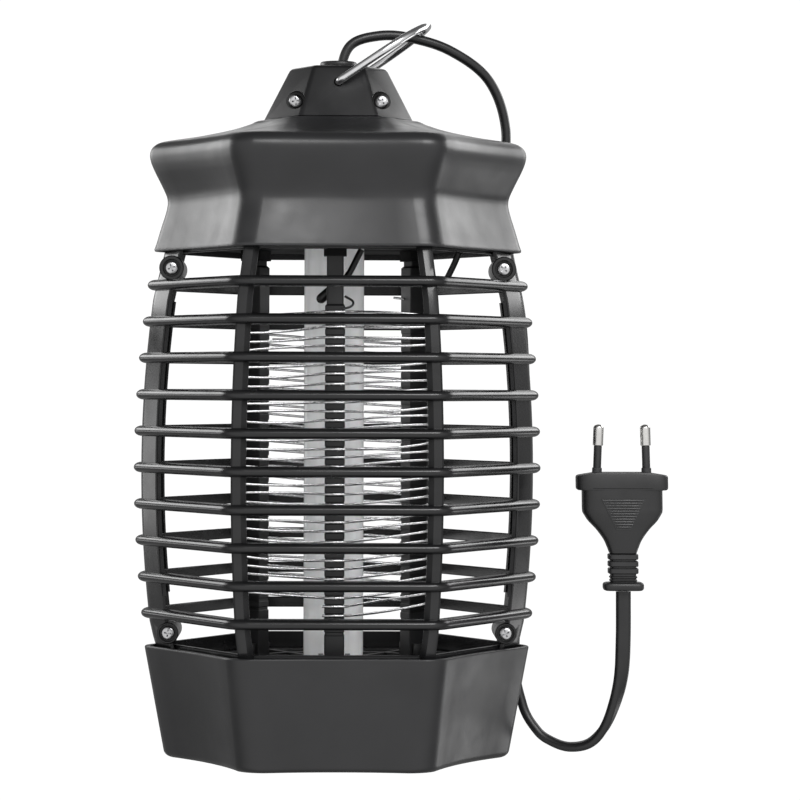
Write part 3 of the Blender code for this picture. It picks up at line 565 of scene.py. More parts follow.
def make_tray():
    """A hexagonal dish with in-curved sides, a rolled foot and a thin rounded rim."""
    foot_half, wall, roll, inner_roll, ease = 65.7, 2.2, 3.0, 2.6, 0.6
    slope = (TRAY_RIM - foot_half) / TRAY_HEIGHT
    lean = math.degrees(math.atan(slope))
    outer = arc_pairs((foot_half - roll + slope * roll, roll), roll, -90, -lean, 7)
    outer += arc_pairs((TRAY_RIM - ease, TRAY_HEIGHT - ease), ease, -lean, 90, 5)
    inner = arc_pairs((TRAY_RIM - wall + ease, TRAY_HEIGHT - ease), ease, 90, 180 - lean, 4)
    inner_foot = foot_half + slope * wall - wall
    inner += [(inner_foot + slope * 4, wall + 4)]
    inner += arc_pairs((inner_foot - inner_roll, wall + inner_roll), inner_roll, -10, -90, 4)
    outlines = [hexagon(width, z, CORNER, tray_dish(z)) for width, z in outer]
    outlines += [hexagon(width, z, CORNER - wall, tray_dish(z)) for width, z in inner]
    tray = loft("catch_tray_shell", outlines, MATERIALS["shell"], sharp=50)
    install(tray, "shell_plastic", "catch_tray", body=TRAY)


# ---- hood ----


def hood_outer():
    """Half width and height, from the skirt's foot up over the waist, the rim and the dome."""
    height = HOOD_TOP - HOOD_FOOT
    knots = [
        (70.2, 0.8), (69.3, 3.3), (68.4, 6.4), (67.3, 10.0), (66.2, 13.4), (65.4, 16.4), (65.15, 18.6),
        (65.5, 21.0), (67.2, 24.8), (68.7, 27.8), (70.2, 30.8), (71.5, 34.0), (72.0, 36.8), (71.4, 39.0),
        (69.6, 40.8), (67.0, 41.8), (62.0, 42.6), (52.7, 44.0), (41.2, 46.4), (34.0, 48.6),
        (28.8, height), (10.0, height),
    ]
    curve = spline([(width, rise, 0) for width, rise in knots], 4)
    foot = [(69.7, HOOD_FOOT), (70.1, HOOD_FOOT + 0.2)]
    return foot + [(point.x, HOOD_FOOT + point.y) for point in curve]


def hood_rows(profile, corner):
    """The corners tighten and the dished sides flatten towards the middle of the dome."""
    flattest, dished = 0.42, 66
    return [
        hexagon(width, z, min(corner, flattest * width), HOOD_DISH * min(1, width / dished))
        for width, z in profile
    ]


def make_hood():
    """A closed wall, open in the middle of the dome, where the cap covers it."""
    rim_z, neck_half, foot_lip = HOOD_FOOT + 37, 40, HOOD_FOOT + 0.4
    outer = hood_outer()
    inner = [(67.9, HOOD_FOOT)]
    for width, z in outer:
        below = z - HOOD_WALL if z > rim_z else z
        if below > foot_lip:
            inner.append((width - HOOD_WALL if width > neck_half else width, below))
    outlines = hood_rows(outer, CORNER) + hood_rows(inner, CORNER - HOOD_WALL)[::-1]
    hood = loft("hood_shell", outlines, MATERIALS["shell"], closed=True, sharp=50)
    install(hood, "shell_plastic", "hood")


# ---- cage ----


def barrel(z):
    return BARREL_HALF_WIDTH - (z - BARREL_MIDDLE) ** 2 / (2 * BARREL_ARC)


def front_half(half_width, z, corner):
    whole = hexagon(half_width, z, corner, arc_steps=8)
    front = [point for point in whole if point[1] < -SEAM]
    front.sort(key=lambda point: math.atan2(point[1], point[0]))
    return [(-half_width, -SEAM, z), *front, (half_width, -SEAM, z)]


def half_band(profile, half_width, z):
    sides = [front_half(half_width - inset, z + rise, CORNER - inset) for inset, rise in profile]
    return [list(section) for section in zip(*sides)]


def ring_profile():
    """A half ellipse outside and a flat face with eased edges inside."""
    half, ease = RING_HEIGHT / 2, 0.35
    arc = arc_pairs((0, 0), 1.0, -90, 90, 10)
    bead = [(RING_BEAD * (1 - across), half * up) for across, up in arc]
    inside = [(RING_DEPTH - ease, half), (RING_DEPTH, half - ease)]
    inside += [(RING_DEPTH, ease - half), (RING_DEPTH - ease, -half)]
    return bead + inside


def band_profile(height):
    thick = 2.0
    return [(0.3, 0), (0, 0.3), (0, height - 0.4), (0.4, height), (thick, height), (thick, 0)]


def post_half_width(z):
    """The posts follow the barrel, drawn in at the tray's mouth and inside the hood."""
    at_foot = CAGE_FOOT_HALF_WIDTH + 0.3 * (z - CAGE_FOOT)
    at_head = CAGE_HEAD_HALF_WIDTH + 0.25 * (CAGE_HEAD - z)
    return min(barrel(z) - POST_INSET, at_foot, at_head)


def sharp_corner(half_width):
    """Where the hexagon's corner would be without its rounding."""
    return half_width + CORNER * (1 / COS30 - 1)


def side_post_frame(half_width):
    """Where a side post ends along the slanted side, and the directions along and inward."""
    along, inward = Vector((-0.5, -COS30)), Vector((-COS30, 0.5))
    return Vector((sharp_corner(half_width), 0)) + along * POST_REACH, along, inward


def side_post_section(half_width, side):
    """A thin bar from the parting line round the corner and along the slanted side."""
    end, along, inward = side_post_frame(half_width)
    center = half_width - CORNER
    outer = [(center + x, min(-SEAM, y)) for x, y in arc_pairs((0, 0), CORNER, -1, -30, 5)]
    edge = [end - along * 0.4, end + inward * 0.35, end + inward * POST_WALL]
    inner_radius = CORNER - POST_WALL
    inner = [(center + x, min(-SEAM, y)) for x, y in arc_pairs((0, 0), inner_radius, -30, -1, 3)]
    section = [*outer, *(tuple(point) for point in edge), *inner]
    return [(side * x, y) for x, y in section]


def lip_section(half_width, side):
    """The stiffening lip along the inner edge of a side post."""
    end, along, inward = side_post_frame(half_width)
    near, far, back, ahead = inward * 0.6, inward * 2.1, along * -1, along * 0.25
    corners = (end + near + back, end + near + ahead, end + far + ahead, end + far + back)
    return [(side * corner.x, corner.y) for corner in corners]


def corner_post_section(half_width, side):
    """A bar in the front corner, chamfered on its inner edge."""
    wide, deep, ease = 5.6, 4.2, 0.3
    vertex = sharp_corner(half_width)
    outside = vertex * 0.5 + 0.4
    front = -vertex * COS30 + 0.2
    back, inside = front + deep, outside - wide
    chamfer = [(inside, front + 1.9), (inside + 2.0, front)]
    face = [(outside - 0.7, front + 0.5), (outside, front + 1.2)]
    rear = [(outside, back - ease), (outside - ease, back), (inside + ease, back), (inside, back - ease)]
    return [(side * x, y) for x, y in chamfer + face + rear]


def stacked(section, side, low, high, steps):
    levels = [low + (high - low) * step / steps for step in range(steps + 1)]
    return [[(x, y, z) for x, y in section(post_half_width(z), side)] for z in levels]


def screw_places():
    return [(side * x, z, radius) for z, x, radius in BOSS_LEVELS for side in (-1, 1)]


def turned(solids):
    """The same solids turned half way round the vertical axis."""
    return [[[(-x, -y, z) for x, y, z in outline] for outline in outlines] for outlines in solids]


def ring_heights():
    return [RING_TOP - index * RING_PITCH for index in range(RING_COUNT)]


def cage_solids():
    """Rings with a band at the foot and the head, the front posts and the side posts' lips."""
    head_height, lip_low, lip_high = 5.2, 62.0, 174.0
    bars = [half_band(ring_profile(), barrel(z), z) for z in ring_heights()]
    foot_band = band_profile(TRAY_HEIGHT + 1 - CAGE_FOOT)
    bars.append(half_band(foot_band, CAGE_FOOT_HALF_WIDTH - 0.2, CAGE_FOOT))
    head_band = band_profile(head_height)
    bars.append(half_band(head_band, CAGE_HEAD_HALF_WIDTH - 1.4, CAGE_HEAD - head_height - 0.4))
    posts = []
    for side in (-1, 1):
        posts.append(stacked(side_post_section, side, CAGE_FOOT, CAGE_HEAD, 28))
        posts.append(stacked(corner_post_section, side, CAGE_FOOT, CAGE_HEAD, 28))
    lips = [stacked(lip_section, side, lip_low, lip_high, 20) for side in (-1, 1)]
    return bars, posts, lips


def make_cage_half(name, facing):
    """Half of the cage with its screw bosses; the rear half is the front one turned round."""
    bars, posts, lips = cage_solids()
    if facing > 0:
        bars, posts, lips = turned(bars), turned(posts), turned(lips)
    cage = loft_many(name, bars, MATERIALS["cage"])
    merge(cage, posts)
    merge(cage, lips)
    near, far, ease = facing * SEAM, facing * BOSS_Y, 0.4
    bosses = []
    for x, z, radius in screw_places():
        rims = ((radius, near), (radius, far - facing * ease), (radius - ease, far))
        bosses.append([circle_y(r, y, x, z) for r, y in rims])
    merge(cage, bosses)
    return cage


def make_cage():
    """Both halves; the front one has a well in each boss for the screw's head."""
    well, mouth, ease, outside = 3.05, 3.4, 0.35, -40
    rims = ((mouth, outside), (mouth, -BOSS_Y), (well, ease - BOSS_Y), (well, 2.6 - BOSS_Y))
    front = make_cage_half("cage_front_guard", -1)
    cut(front, [[circle_y(r, y, x, z) for r, y in rims] for x, z, _ in screw_places()])
    install(front, "cage_plastic", "cage_front")
    install(make_cage_half("cage_rear_guard", 1), "cage_plastic", "cage_rear")


# ---- screws ----


def cross_outline(arm, half, z):
    corners = []
    for quarter in range(4):
        turn = Matrix.Rotation(math.radians(90 * quarter), 2)
        for corner in ((half, half), (half, arm), (-half, arm)):
            corners.append(turn @ Vector(corner))
    return [(corner.x, corner.y, z) for corner in corners]


def make_screw(name, node, head_radius, twist):
    """A pan-head cross-recess screw whose head faces -Y, where the CAD screw is."""
    low, high = cad_low(node), cad_high(node)
    center = (low + high) / 2
    head, rim, shank_radius, tip_radius = 1.9, 1.0, 1.35, 0.4
    shank = (high.y - low.y) - head
    profile = [(tip_radius, -shank), (shank_radius, -shank + 2), (shank_radius, -0.3), (1.7, 0)]
    profile += [(head_radius - 0.1, 0), (head_radius, 0.1), (head_radius, rim)]
    for across, up in arc_pairs((0, 0), 1.0, 0, 85, 7):
        profile.append((head_radius * across**0.6, rim + (head - rim) * up))
    screw = lathe(name, profile, MATERIALS["screw"], 40)
    foot = cross_outline(0.3 * head_radius, 0.2, 0.5)
    mouth = cross_outline(0.66 * head_radius, 0.33, head + 0.4)
    cut(screw, [[foot, mouth]])
    turn = Matrix.Rotation(math.radians(90), 4, "X") @ Matrix.Rotation(math.radians(twist), 4, "Z")
    place = Matrix.Translation(Vector((center.x, low.y + head, center.z)) * MM)
    screw.data.transform(place @ turn)
    install(screw, "screw_steel", node)


def make_screws():
    """The cross slots of the six screws stopped at different angles."""
    for index, corner in enumerate(("top_left", "top_right", "bottom_left", "bottom_right")):
        make_screw(f"{corner}_guard_screw", f"cage_screw_{corner}", 2.55, 20 + 31 * index)
    for index, side in enumerate(("left", "right")):
        make_screw(f"{side}_hanger_screw", f"cap_screw_{side}", 2.6, 8 + 47 * index)


# ---- hanger cap, bail, grommet ----


def cap_outline(z, inset=0.0):
    corner = 2.6
    share = (z - HOOD_TOP) / (CAP_TOP - HOOD_TOP)
    radius = CAP_FOOT_HALF + (CAP_TOP_HALF - CAP_FOOT_HALF) * share
    return hexagon(radius - inset, z, corner - inset, arc_steps=6)


def make_cap_half(name, facing):
    """Half of the cap, hollow inside, with a bore for the cord and an eye for the loop."""
    foot, beyond, eye_radius = HOOD_TOP + 0.3, 60, BAIL_WIRE_RADIUS + 0.3
    rows = [cap_outline(foot)]
    for across, up in arc_pairs((0, 0), CAP_ROUNDING, 0, 90, 5):
        rows.append(cap_outline(CAP_TOP - CAP_ROUNDING + up, CAP_ROUNDING - across))
    cap = loft(name, rows, MATERIALS["cap"])
    y0, y1 = sorted((facing * SEAM, -facing * beyond))
    other_half = box_rows((-beyond, y0, foot - 9), (beyond, y1, CAP_TOP + 9))
    chamber = rod_rows(8, foot - 5, CAP_TOP - 3.5)
    bore = rod_rows(4, CAP_TOP - 9, CAP_TOP + 5)
    eye = [circle_y(eye_radius, facing * y, 0, BAIL_PIVOT_Z) for y in (5, 30)]
    for guide in (other_half, chamber, bore, eye):
        cut(cap, [guide])
    return cap


def make_cap():
    front = make_cap_half("cap_front_half", -1)
    seat, well, outside = -8.8, 3.65, -40
    wells = []
    for side in ("left", "right"):
        center = (cad_low(f"cap_screw_{side}") + cad_high(f"cap_screw_{side}")) / 2
        wells.append([circle_y(well, y, center.x, center.z) for y in (outside, seat)])
    cut(front, wells)
    install(front, "shell_plastic", "cap_front")
    install(make_cap_half("cap_rear_half", 1), "shell_plastic", "cap_rear")


def make_bail():
    """Bright wire bent into a round-ended loop with in-turned ends, leaning on the cord."""
    straight_top = BAIL_REACH - BAIL_ARM_Y
    half = [(0, BAIL_END_Y, 0), (0, BAIL_END_Y + 3, 0)]
    half += [(0, y, z) for y, z in arc_pairs((BAIL_ARM_Y - BAIL_BEND, BAIL_BEND), BAIL_BEND, -90, 0, 8)]
    half += [(0, BAIL_ARM_Y, BAIL_BEND + (straight_top - BAIL_BEND) * t) for t in (0.33, 0.66)]
    half += [(0, y, z) for y, z in arc_pairs((0, straight_top), BAIL_ARM_Y, 0, 90, 20)]
    path = half + [(0, -y, z) for _, y, z in reversed(half[:-1])]
    bail = wire("bail_loop", path, BAIL_WIRE_RADIUS, MATERIALS["chrome"], 20)
    tilt = Matrix.Rotation(BAIL_REST_TILT, 4, "Y")
    bail.data.transform(Matrix.Translation((0, 0, BAIL_PIVOT_Z * MM)) @ tilt)
    install(bail, "bail_chrome", "hanging_bail", body=BAIL)


def make_grommet():
    low, high = cad_low("cord_grommet"), cad_high("cord_grommet")
    outer, bore, roll, lip_roll = high.x, 3.9, 0.7, 0.5
    rim = arc_pairs((outer - roll, high.z - roll), roll, 0, 90, 5)
    lip = arc_pairs((bore + lip_roll, high.z - lip_roll), lip_roll, 90, 180, 4)
    profile = [(outer - 0.2, low.z), (outer, low.z + 0.3), *rim, *lip, (bore, low.z)]
    grommet = lathe("grommet_disc", profile, MATERIALS["cord"], 48, closed=True)
    install(grommet, "cord_pvc", "cord_grommet")


# ---- inner frame ----


def post_center(azimuth):
    """A post's centre and the directions outward and aside."""
    radial = direction(math.radians(azimuth))
    return radial * POST_CIRCLE + Vector((INNER_X, 0)), radial, Vector((-radial.y, radial.x))


def post_blocks(depth, width, z0, z1):
    """A block in the place of each coil post."""
    signs = ((-1, -1), (1, -1), (1, 1), (-1, 1))
    blocks = []
    for azimuth in POST_AZIMUTHS.values():
        center, radial, aside = post_center(azimuth)
        corners = [center + radial * (a * depth / 2) + aside * (b * width / 2) for a, b in signs]
        blocks.append(prism(corners, z0, z1))
    return blocks


def window(inner, outer, start, z0, z1):
    """An opening between two spokes of the grille, 30 degrees apart."""
    half_spoke = 1.1
    corners = []
    for radius, heading, sign in ((inner, 0, 1), (outer, 0, 1), (outer, 30, -1), (inner, 30, -1)):
        radial = direction(math.radians(start + heading))
        corners.append(radial * radius + Vector((-radial.y, radial.x)) * half_spoke * sign)
    return prism(corners, z0, z1)


def make_grille():
    """A spoked hexagonal plate with a hub for the lamp and prongs round each post's foot."""
    plate, low, prong_top = 2.6, cad_low("floor_grille").z, cad_high("floor_grille").z
    high, under, over = low + plate, low - 2, low + plate + 2
    outlines = [hexagon(PLATE_HALF_WIDTH, z) for z in (low, high)]
    grille = loft("grille_frame", outlines, MATERIALS["inner"])
    windows = []
    for start in range(0, 360, 30):
        for inner, outer in ((17, 36), (39, 52)):
            windows.append(window(inner, outer, start, under, over))
    cut(grille, windows)
    cut(grille, [rod_rows(LAMP_HOLE, under, over, (INNER_X, 0))])
    merge(grille, post_blocks(6, 11.8, low + 0.4, prong_top))
    cut(grille, post_blocks(8.8, 8.1, high - 0.3, prong_top + 2))
    soften(grille, 0.25)
    install(grille, "inner_plastic", "floor_grille")


def make_ceiling():
    """The plate that closes the hood, with a lamp hole, post sockets and board standoffs."""
    low, high = CEILING_FOOT, CEILING_TOP
    outlines = [hexagon(PLATE_HALF_WIDTH, z) for z in (low, high)]
    ceiling = loft("ceiling_panel", outlines, MATERIALS["ceiling"])
    cut(ceiling, [rod_rows(LAMP_HOLE, low - 2, high + 2, (INNER_X, 0))])
    blocks = post_blocks(8.7, 8.5, low - 4, low + 1)
    board_foot = cad_low("circuit_board").z - 0.3
    for x in (-32, 32):
        for y in (-18, 18):
            levels = ((3.4, high - 1), (3.0, high + 3), (3.0, board_foot))
            blocks.append([circle(radius, z, 24, (x, y)) for radius, z in levels])
    for block in blocks:
        merge(ceiling, [block])
    cut(ceiling, post_blocks(7.1, 6.9, low - 9, low - 2))
    soften(ceiling, 0.3)
    install(ceiling, "inner_plastic", "ceiling_plate")


# ---- lamp and electronics ----


def make_lamp():
    """A U-shaped tube, its two limbs side by side and the bend at the bottom."""
    limb_x, radius = 6.15, 5.3
    bend_z = LAMP_LOW + limb_x + radius
    drop = LAMP_HIGH - bend_z
    left, right = LAMP_X - limb_x, LAMP_X + limb_x
    path = [(left, 0, LAMP_HIGH - drop * t) for t in (0, 0.05, 0.5, 0.95)]
    path += [(x, 0, z) for x, z in arc_pairs((LAMP_X, bend_z), limb_x, 180, 360, 24)]
    path += [(right, 0, bend_z + drop * t) for t in (0.05, 0.5, 0.95, 1)]
    lamp = wire("lamp_glass_tube", path, radius, MATERIALS["glass"], 36)
    install(lamp, "lamp_glass", "lamp_tube")


def rounded_box(name, node, finish, slot, ease, segments=3):
    """A block with rounded edges that fills the CAD node's box."""
    rows = box_rows(cad_low(node), cad_high(node))
    install(soften(loft(name, rows, MATERIALS[finish]), ease, segments), slot, node)


def make_electronics():
    rounded_box("lamp_base_block", "lamp_base", "lamp_base", "lamp_base_plastic", 1.2)
    rounded_box("lamp_socket_block", "lamp_socket", "inner", "inner_plastic", 0.9)
    rounded_box("circuit_board_panel", "circuit_board", "board", "board_laminate", 0.2, 2)
    for side in ("left", "right"):
        node = f"capacitor_{side}"
        rounded_box(f"{side}_film_capacitor", node, "capacitor", "capacitor_film", 1.8, 4)
    make_transformer()


def make_transformer():
    """A laminated core round a bobbin, with the winding bulging from both sides."""
    low, high = cad_low("transformer"), cad_high("transformer")
    middle, size, turns = (low + high) / 2, high - low, 24
    core_half = Vector((0, size.y * 0.22, 0))
    core_low, core_high = Vector((low.x, middle.y, low.z)), Vector((high.x, middle.y, high.z))
    rows = box_rows(core_low - core_half, core_high + core_half)
    core = soften(loft("transformer_core", rows, MATERIALS["inner"]), 0.5)
    install(core, "inner_plastic", "transformer")
    half_x, half_z = size.x * 0.32, size.z * 0.36
    rings = []
    for step in range(turns + 1):
        t = step / turns
        swell = 1 - 0.16 * abs(2 * t - 1) ** 4 + 0.02 * math.cos(math.pi * step)
        ring = squarish(half_x * swell, half_z * swell, 0.6, 32)
        rings.append([(middle.x + a, low.y + size.y * t, middle.z + b) for a, b in ring])
    winding = loft("transformer_winding", rings, MATERIALS["copper"])
    install(winding, "inner_plastic")


# ---- wire grid ----


def post_section(azimuth, depth, width, z):
    """A post's section: slightly chamfered behind, rounded on its outer corners."""
    center, radial, aside = post_center(azimuth)
    deep, wide, ease, chamfer = depth / 2, width / 2, 0.8, 0.3
    local = [(-deep, chamfer - wide), (chamfer - deep, -wide)]
    local += arc_pairs((deep - ease, ease - wide), ease, -90, 0, 4)
    local += arc_pairs((deep - ease, wide - ease), ease, 0, 90, 4)
    local += [(chamfer - deep, wide), (-deep, wide - chamfer)]
    points = [center + radial * a + aside * b for a, b in local]
    return [(point.x, point.y, z) for point in points]


def notch_heights(share, top):
    """Where strands of the two coils cross a post, each half a lead above the last."""
    pitch = COIL_LEAD / 2
    first = COIL_BOTTOM + COIL_LEAD * share + 0.1
    return [first + pitch * step for step in range(-2, 35) if first + pitch * step < top]


def make_coil_post(place, azimuth):
    """A straight bar with a shallow notch for every strand and a thinner head."""
    low, high = cad_low(f"coil_post_{place}").z, cad_high(f"coil_post_{place}").z
    bar, notch = (POST_DEPTH, POST_WIDTH), (POST_DEPTH - 0.5, POST_WIDTH - 0.5)
    neck, neck_z = (NECK_DEPTH, NECK_WIDTH), NECK_Z[place]
    mouth, floor = 0.8, 0.5
    rows = [(low, bar)]
    for z in notch_heights(NOTCH_SHARES[place], min(neck_z - 1, COIL_TOP)):
        rows += [(z - mouth, bar), (z - floor, notch), (z + floor, notch), (z + mouth, bar)]
    rows += [(neck_z, bar), (neck_z + 0.8, neck), (high, neck)]
    sections = [post_section(azimuth, depth, width, z) for z, (depth, width) in rows]
    post = loft(f"{place}_coil_post", sections, MATERIALS["inner"], sharp=30)
    install(post, "inner_plastic", f"coil_post_{place}")


def coil_corners():
    """The wire's path round each post, tucked in where it meets the post's sides."""
    clearance, tuck = 0.6, 0.55
    reach, aside = POST_DEPTH / 2 + clearance, POST_WIDTH / 2 + clearance
    corners = []
    for azimuth in sorted(POST_AZIMUTHS.values()):
        center, radial, across = post_center(azimuth)
        for turn, inset in ((-1.0, tuck), (-0.72, 0.0), (0.72, 0.0), (1.0, tuck)):
            corners.append(center + radial * (reach - inset) + across * (aside * turn))
    return corners


def coil_path(bottom, spans, seed):
    """A wire round the posts, each free span slightly slack; the last span is level."""
    wander = random.Random(seed)
    corners = coil_corners()
    count = len(corners)
    path, z, lift, span = [], bottom, 0.0, 0
    index = 0
    while span <= spans:
        here, following = corners[index % count], corners[(index + 1) % count]
        path.append((here.x, here.y, z + lift))
        if (following - here).length > FREE_SPAN:
            rise = COIL_LEAD * SPAN_SHARES[span % 3] if span < spans - 1 else 0.0
            next_lift = wander.uniform(-0.32, 0.32)
            sag, bow = wander.uniform(-0.9, 0.5), wander.uniform(-0.5, 0.5)
            for t in (0.12, 0.3, 0.5, 0.7, 0.88):
                point = here.lerp(following, t)
                curve = 4 * t * (1 - t)
                out = point.normalized() * bow * curve
                height = z + rise * t + lift + (next_lift - lift) * t + sag * curve
                path.append((point.x + out.x, point.y + out.y, height))
            lift = next_lift
            z += rise
            span += 1
        index += 1
    return path


def make_grid():
    for place, azimuth in POST_AZIMUTHS.items():
        make_coil_post(place, azimuth)
    coils = (("lower", COIL_BOTTOM, 46, 7), ("upper", COIL_BOTTOM + COIL_LEAD / 2, 48, 19))
    for level, bottom, spans, seed in coils:
        path = coil_path(bottom, spans, seed)
        coil = wire(f"{level}_grid_wire", path, WIRE_RADIUS, MATERIALS["wire"], 8)
        install(coil, "grid_steel", f"grid_coil_{level}")


def make_leads():
    """The two grid leads, the front one with a thick sleeve on its end, and two wire ends."""
    insulation, steel = MATERIALS["lead"], MATERIALS["wire"]
    lead_radius, sleeve_radius, end_radius = 1.2, 1.9, 0.45
    front = [
        (8.8, -29, 192.8), (7.6, -29, 190.5), (3.4, -29, 182.7), (-1.8, -29, 178.2), (-6.4, -29, 174.3),
    ]
    lead = wire("front_lead", spline(front, 10), lead_radius, insulation, 16)
    merge(lead, [blunt_rod((-6.2, -29, 174.4), (-2.2, -29, 177.9), sleeve_radius)], sharp=60)
    install(lead, "lead_insulation", "hv_lead_front")
    right = [
        (46.2, -3, 192.8), (44.4, -1.7, 188.4), (42, 0.5, 183.4), (40.6, 5, 180.8), (39.2, 11.5, 180.4),
    ]
    lead = wire("right_lead", spline(right, 10), lead_radius, insulation, 16)
    install(lead, "lead_insulation", "hv_lead_right")
    hook = [(2.6, -37, 175.1), (5.5, -38, 173.2), (5.1, -39.4, 171.4), (1.8, -40.3, 170.2)]
    tail = [(21.6, 17, 176.0), (26.0, 17.4, 175.4), (32.5, 17, 173.7)]
    hook_end = wire("front_wire_end", spline(hook, 8), end_radius, insulation, 10)
    install(hook_end, "lead_insulation")
    tail_end = wire("rear_wire_end", spline(tail, 8), end_radius, steel, 10)
    install(tail_end, "grid_steel")


# ---- cord and plug ----


def plug_axis(z):
    return PLUG_X + PLUG_LEAN * (PLUG_TOP - z)


def cord_knots():
    """From inside the cap, over through the bail, down behind the cage and up to the plug."""
    end_x = plug_axis(PLUG_FOOT)
    return [
        (0, 0, 247), (0.8, 0, 262), (4.5, 0.3, 272), (14, 1.5, 275.7), (26, 4.5, 275.8),
        (43, 10, 271.2), (58.4, 17, 260.2), (65.2, 20.8, 241), (63.2, 22, 215), (66.6, 21.4, 193),
        (72.2, 20, 160), (73.3, 19, 95), (69.4, 22, 40), (72.2, 20.5, 18.5), (77.8, 17.5, 8.2),
        (83.6, 15, 4), (90.3, 11.5, 2.3), (97.6, 7.5, 4.2), (103, 4.5, 10.4), (106.8, 2.4, 20),
        (109.2, 1, 31), (end_x, 0, 45), (end_x, 0, PLUG_FOOT - 0.4),
    ]


def cord_broad_side(point):
    """The direction of the cord's width: front to back, then sideways as it rises to the plug."""
    if point.x < CORD_TURN_X:
        return Vector((0, 1, 0))
    turned_share = min(1.0, max(0.0, (point.z - CORD_TURN_LOW_Z) / CORD_TURN_HEIGHT))
    angle = math.radians(90) * turned_share
    return Vector((math.sin(angle), math.cos(angle), 0))


def cord_section():
    """Two cores side by side under one sheath, with a shallow valley between them."""
    center, radius, valley = (CORD_WIDE - CORD_NARROW) / 2, CORD_NARROW / 2, 0.22
    section = []
    for side, start in ((1, -80), (-1, 100)):
        for across, up in arc_pairs((0, 0), radius, start, start + 160, 9):
            section.append((side * center + across, up))
        section.append((0, side * (radius - valley)))
    return section


def make_cord():
    path, section = spline(cord_knots(), 12), cord_section()
    rows = []
    for point, tangent in zip(path, headings(path)):
        broad = cord_broad_side(point)
        broad = (broad - tangent * broad.dot(tangent)).normalized()
        narrow = tangent.cross(broad)
        rows.append([tuple(point + broad * a + narrow * b) for a, b in section])
    cord = loft("mains_cord", rows, MATERIALS["cord"], sharp=60)
    install(cord, "cord_pvc", "power_cord")


def oval(half_width, half_depth, z, crown=0.0):
    """A rounded rectangle round the plug's axis; the crown drops its ends below its middle."""
    flat_half, squareness, steps = 10, 0.4, 64
    points = []
    for x, y in squarish(half_width, half_depth, squareness, steps):
        drop = crown * max(0.0, abs(x) - flat_half) / (FLANGE_HALF_WIDTH - flat_half)
        points.append((plug_axis(z) + x, y, z - drop))
    return points


def plug_rib(half_width, foot, top):
    """A rounded rib as rows of half width, half depth and height."""
    half_depth, ease = half_width - 1.2, 0.3
    eased = (half_width - ease, half_depth - ease)
    rows = [(*eased, foot + 0.02), (half_width, half_depth, foot + ease)]
    rows += [(half_width, half_depth, top - ease), (*eased, top - 0.02)]
    return [(*PLUG_NECK, foot), *rows, (*PLUG_NECK, top)]


def plug_sections():
    """End flange, ribs, neck, grip body and top flange."""
    foot = PLUG_FOOT
    rows = [(6.8, 4.4, foot), (7.5, 4.9, foot + 0.3), (7.8, 5.2, foot + 1.0)]
    rows += [(7.8, 5.2, foot + 2.3), (7.5, 4.9, foot + 2.9), (6.8, 4.4, foot + 3.2)]
    rows.append((*PLUG_NECK, foot + 3.3))
    ribs = ((5.3, 67.1, 68.0), (5.3, 68.3, 69.3), (5.8, 70.1, 72.3), (5.8, 72.8, 75.0))
    for rib in (*ribs, (5.8, 75.5, 77.7)):
        rows += plug_rib(*rib)
    knots = [(5.2, 4.6, 78.1), (5.9, 5.0, 80.0), (7.3, 5.5, 83.2), (10.1, 6.0, 87.1)]
    knots += [(13.2, 6.5, 90.4), (15.2, PLUG_HALF_DEPTH, GRIP_FULL_Z)]
    rows += [tuple(point) for point in spline(knots, 4)]
    steps = ((15.35, 95.0), (15.35, 101.8), (15.5, 102.1), (16.9, 102.15), (17.5, 102.6))
    for half_width, z in (*steps, (FLANGE_HALF_WIDTH, 103.2)):
        rows.append((half_width, PLUG_HALF_DEPTH, z))
    return rows


def plug_top():
    """The flange's crowned top, closed by shrinking rows."""
    face = (17.0, 6.3)
    rows = [(FLANGE_HALF_WIDTH, PLUG_HALF_DEPTH, PLUG_TOP - 0.7), (17.4, 6.7, PLUG_TOP - 0.2)]
    for share in (1, 0.75, 0.5, 0.25, 0.02):
        rows.append((face[0] * share, face[1] * share, PLUG_TOP))
    return [oval(*row, crown=1.2) for row in rows]


def face_depth(z):
    """How far the plug's grip face stands out at a height."""
    fall, fall_height = 0.85, 6.5
    return PLUG_HALF_DEPTH - fall * max(0.0, GRIP_FULL_Z - z) / fall_height


def shield_width(z):
    """Half the shield's width, which grows upwards."""
    at_foot, at_top, foot, height = 2.7, 8.0, 87.3, 11.2
    return at_foot + (at_top - at_foot) * (z - foot) / height


def grip_panel(face):
    """A raised shield on the plug's face."""
    sunk, bevel, steps = 1, 0.2, 8
    rows = []
    for step in range(steps + 1):
        z = SHIELD_FOOT + SHIELD_HEIGHT * step / steps
        half, x = shield_width(z) + 0.5, plug_axis(z)
        near, far = face * (face_depth(z) - sunk), face * (face_depth(z) + SHIELD_RAISE)
        corners = ((-half, near), (bevel - half, far), (half - bevel, far), (half, near))
        rows.append([(x + across, y, z) for across, y in corners])
    return rows


def grip_ridge(z, face):
    """A low round bar across the shield, thinner at its ends."""
    depth, height, end_taper, steps = 0.32, 0.36, 0.45, 6
    half, surface = shield_width(z), face * (face_depth(z) + SHIELD_RAISE)
    rows = []
    for step in range(steps + 1):
        x = plug_axis(z) - half + 2 * half * step / steps
        taper = end_taper if step in (0, steps) else 1.0
        deep, tall = face * depth * taper, height * taper
        rows.append([(x, surface + deep * a, z + tall * b) for a, b in round_section(1, 8)])
    return rows


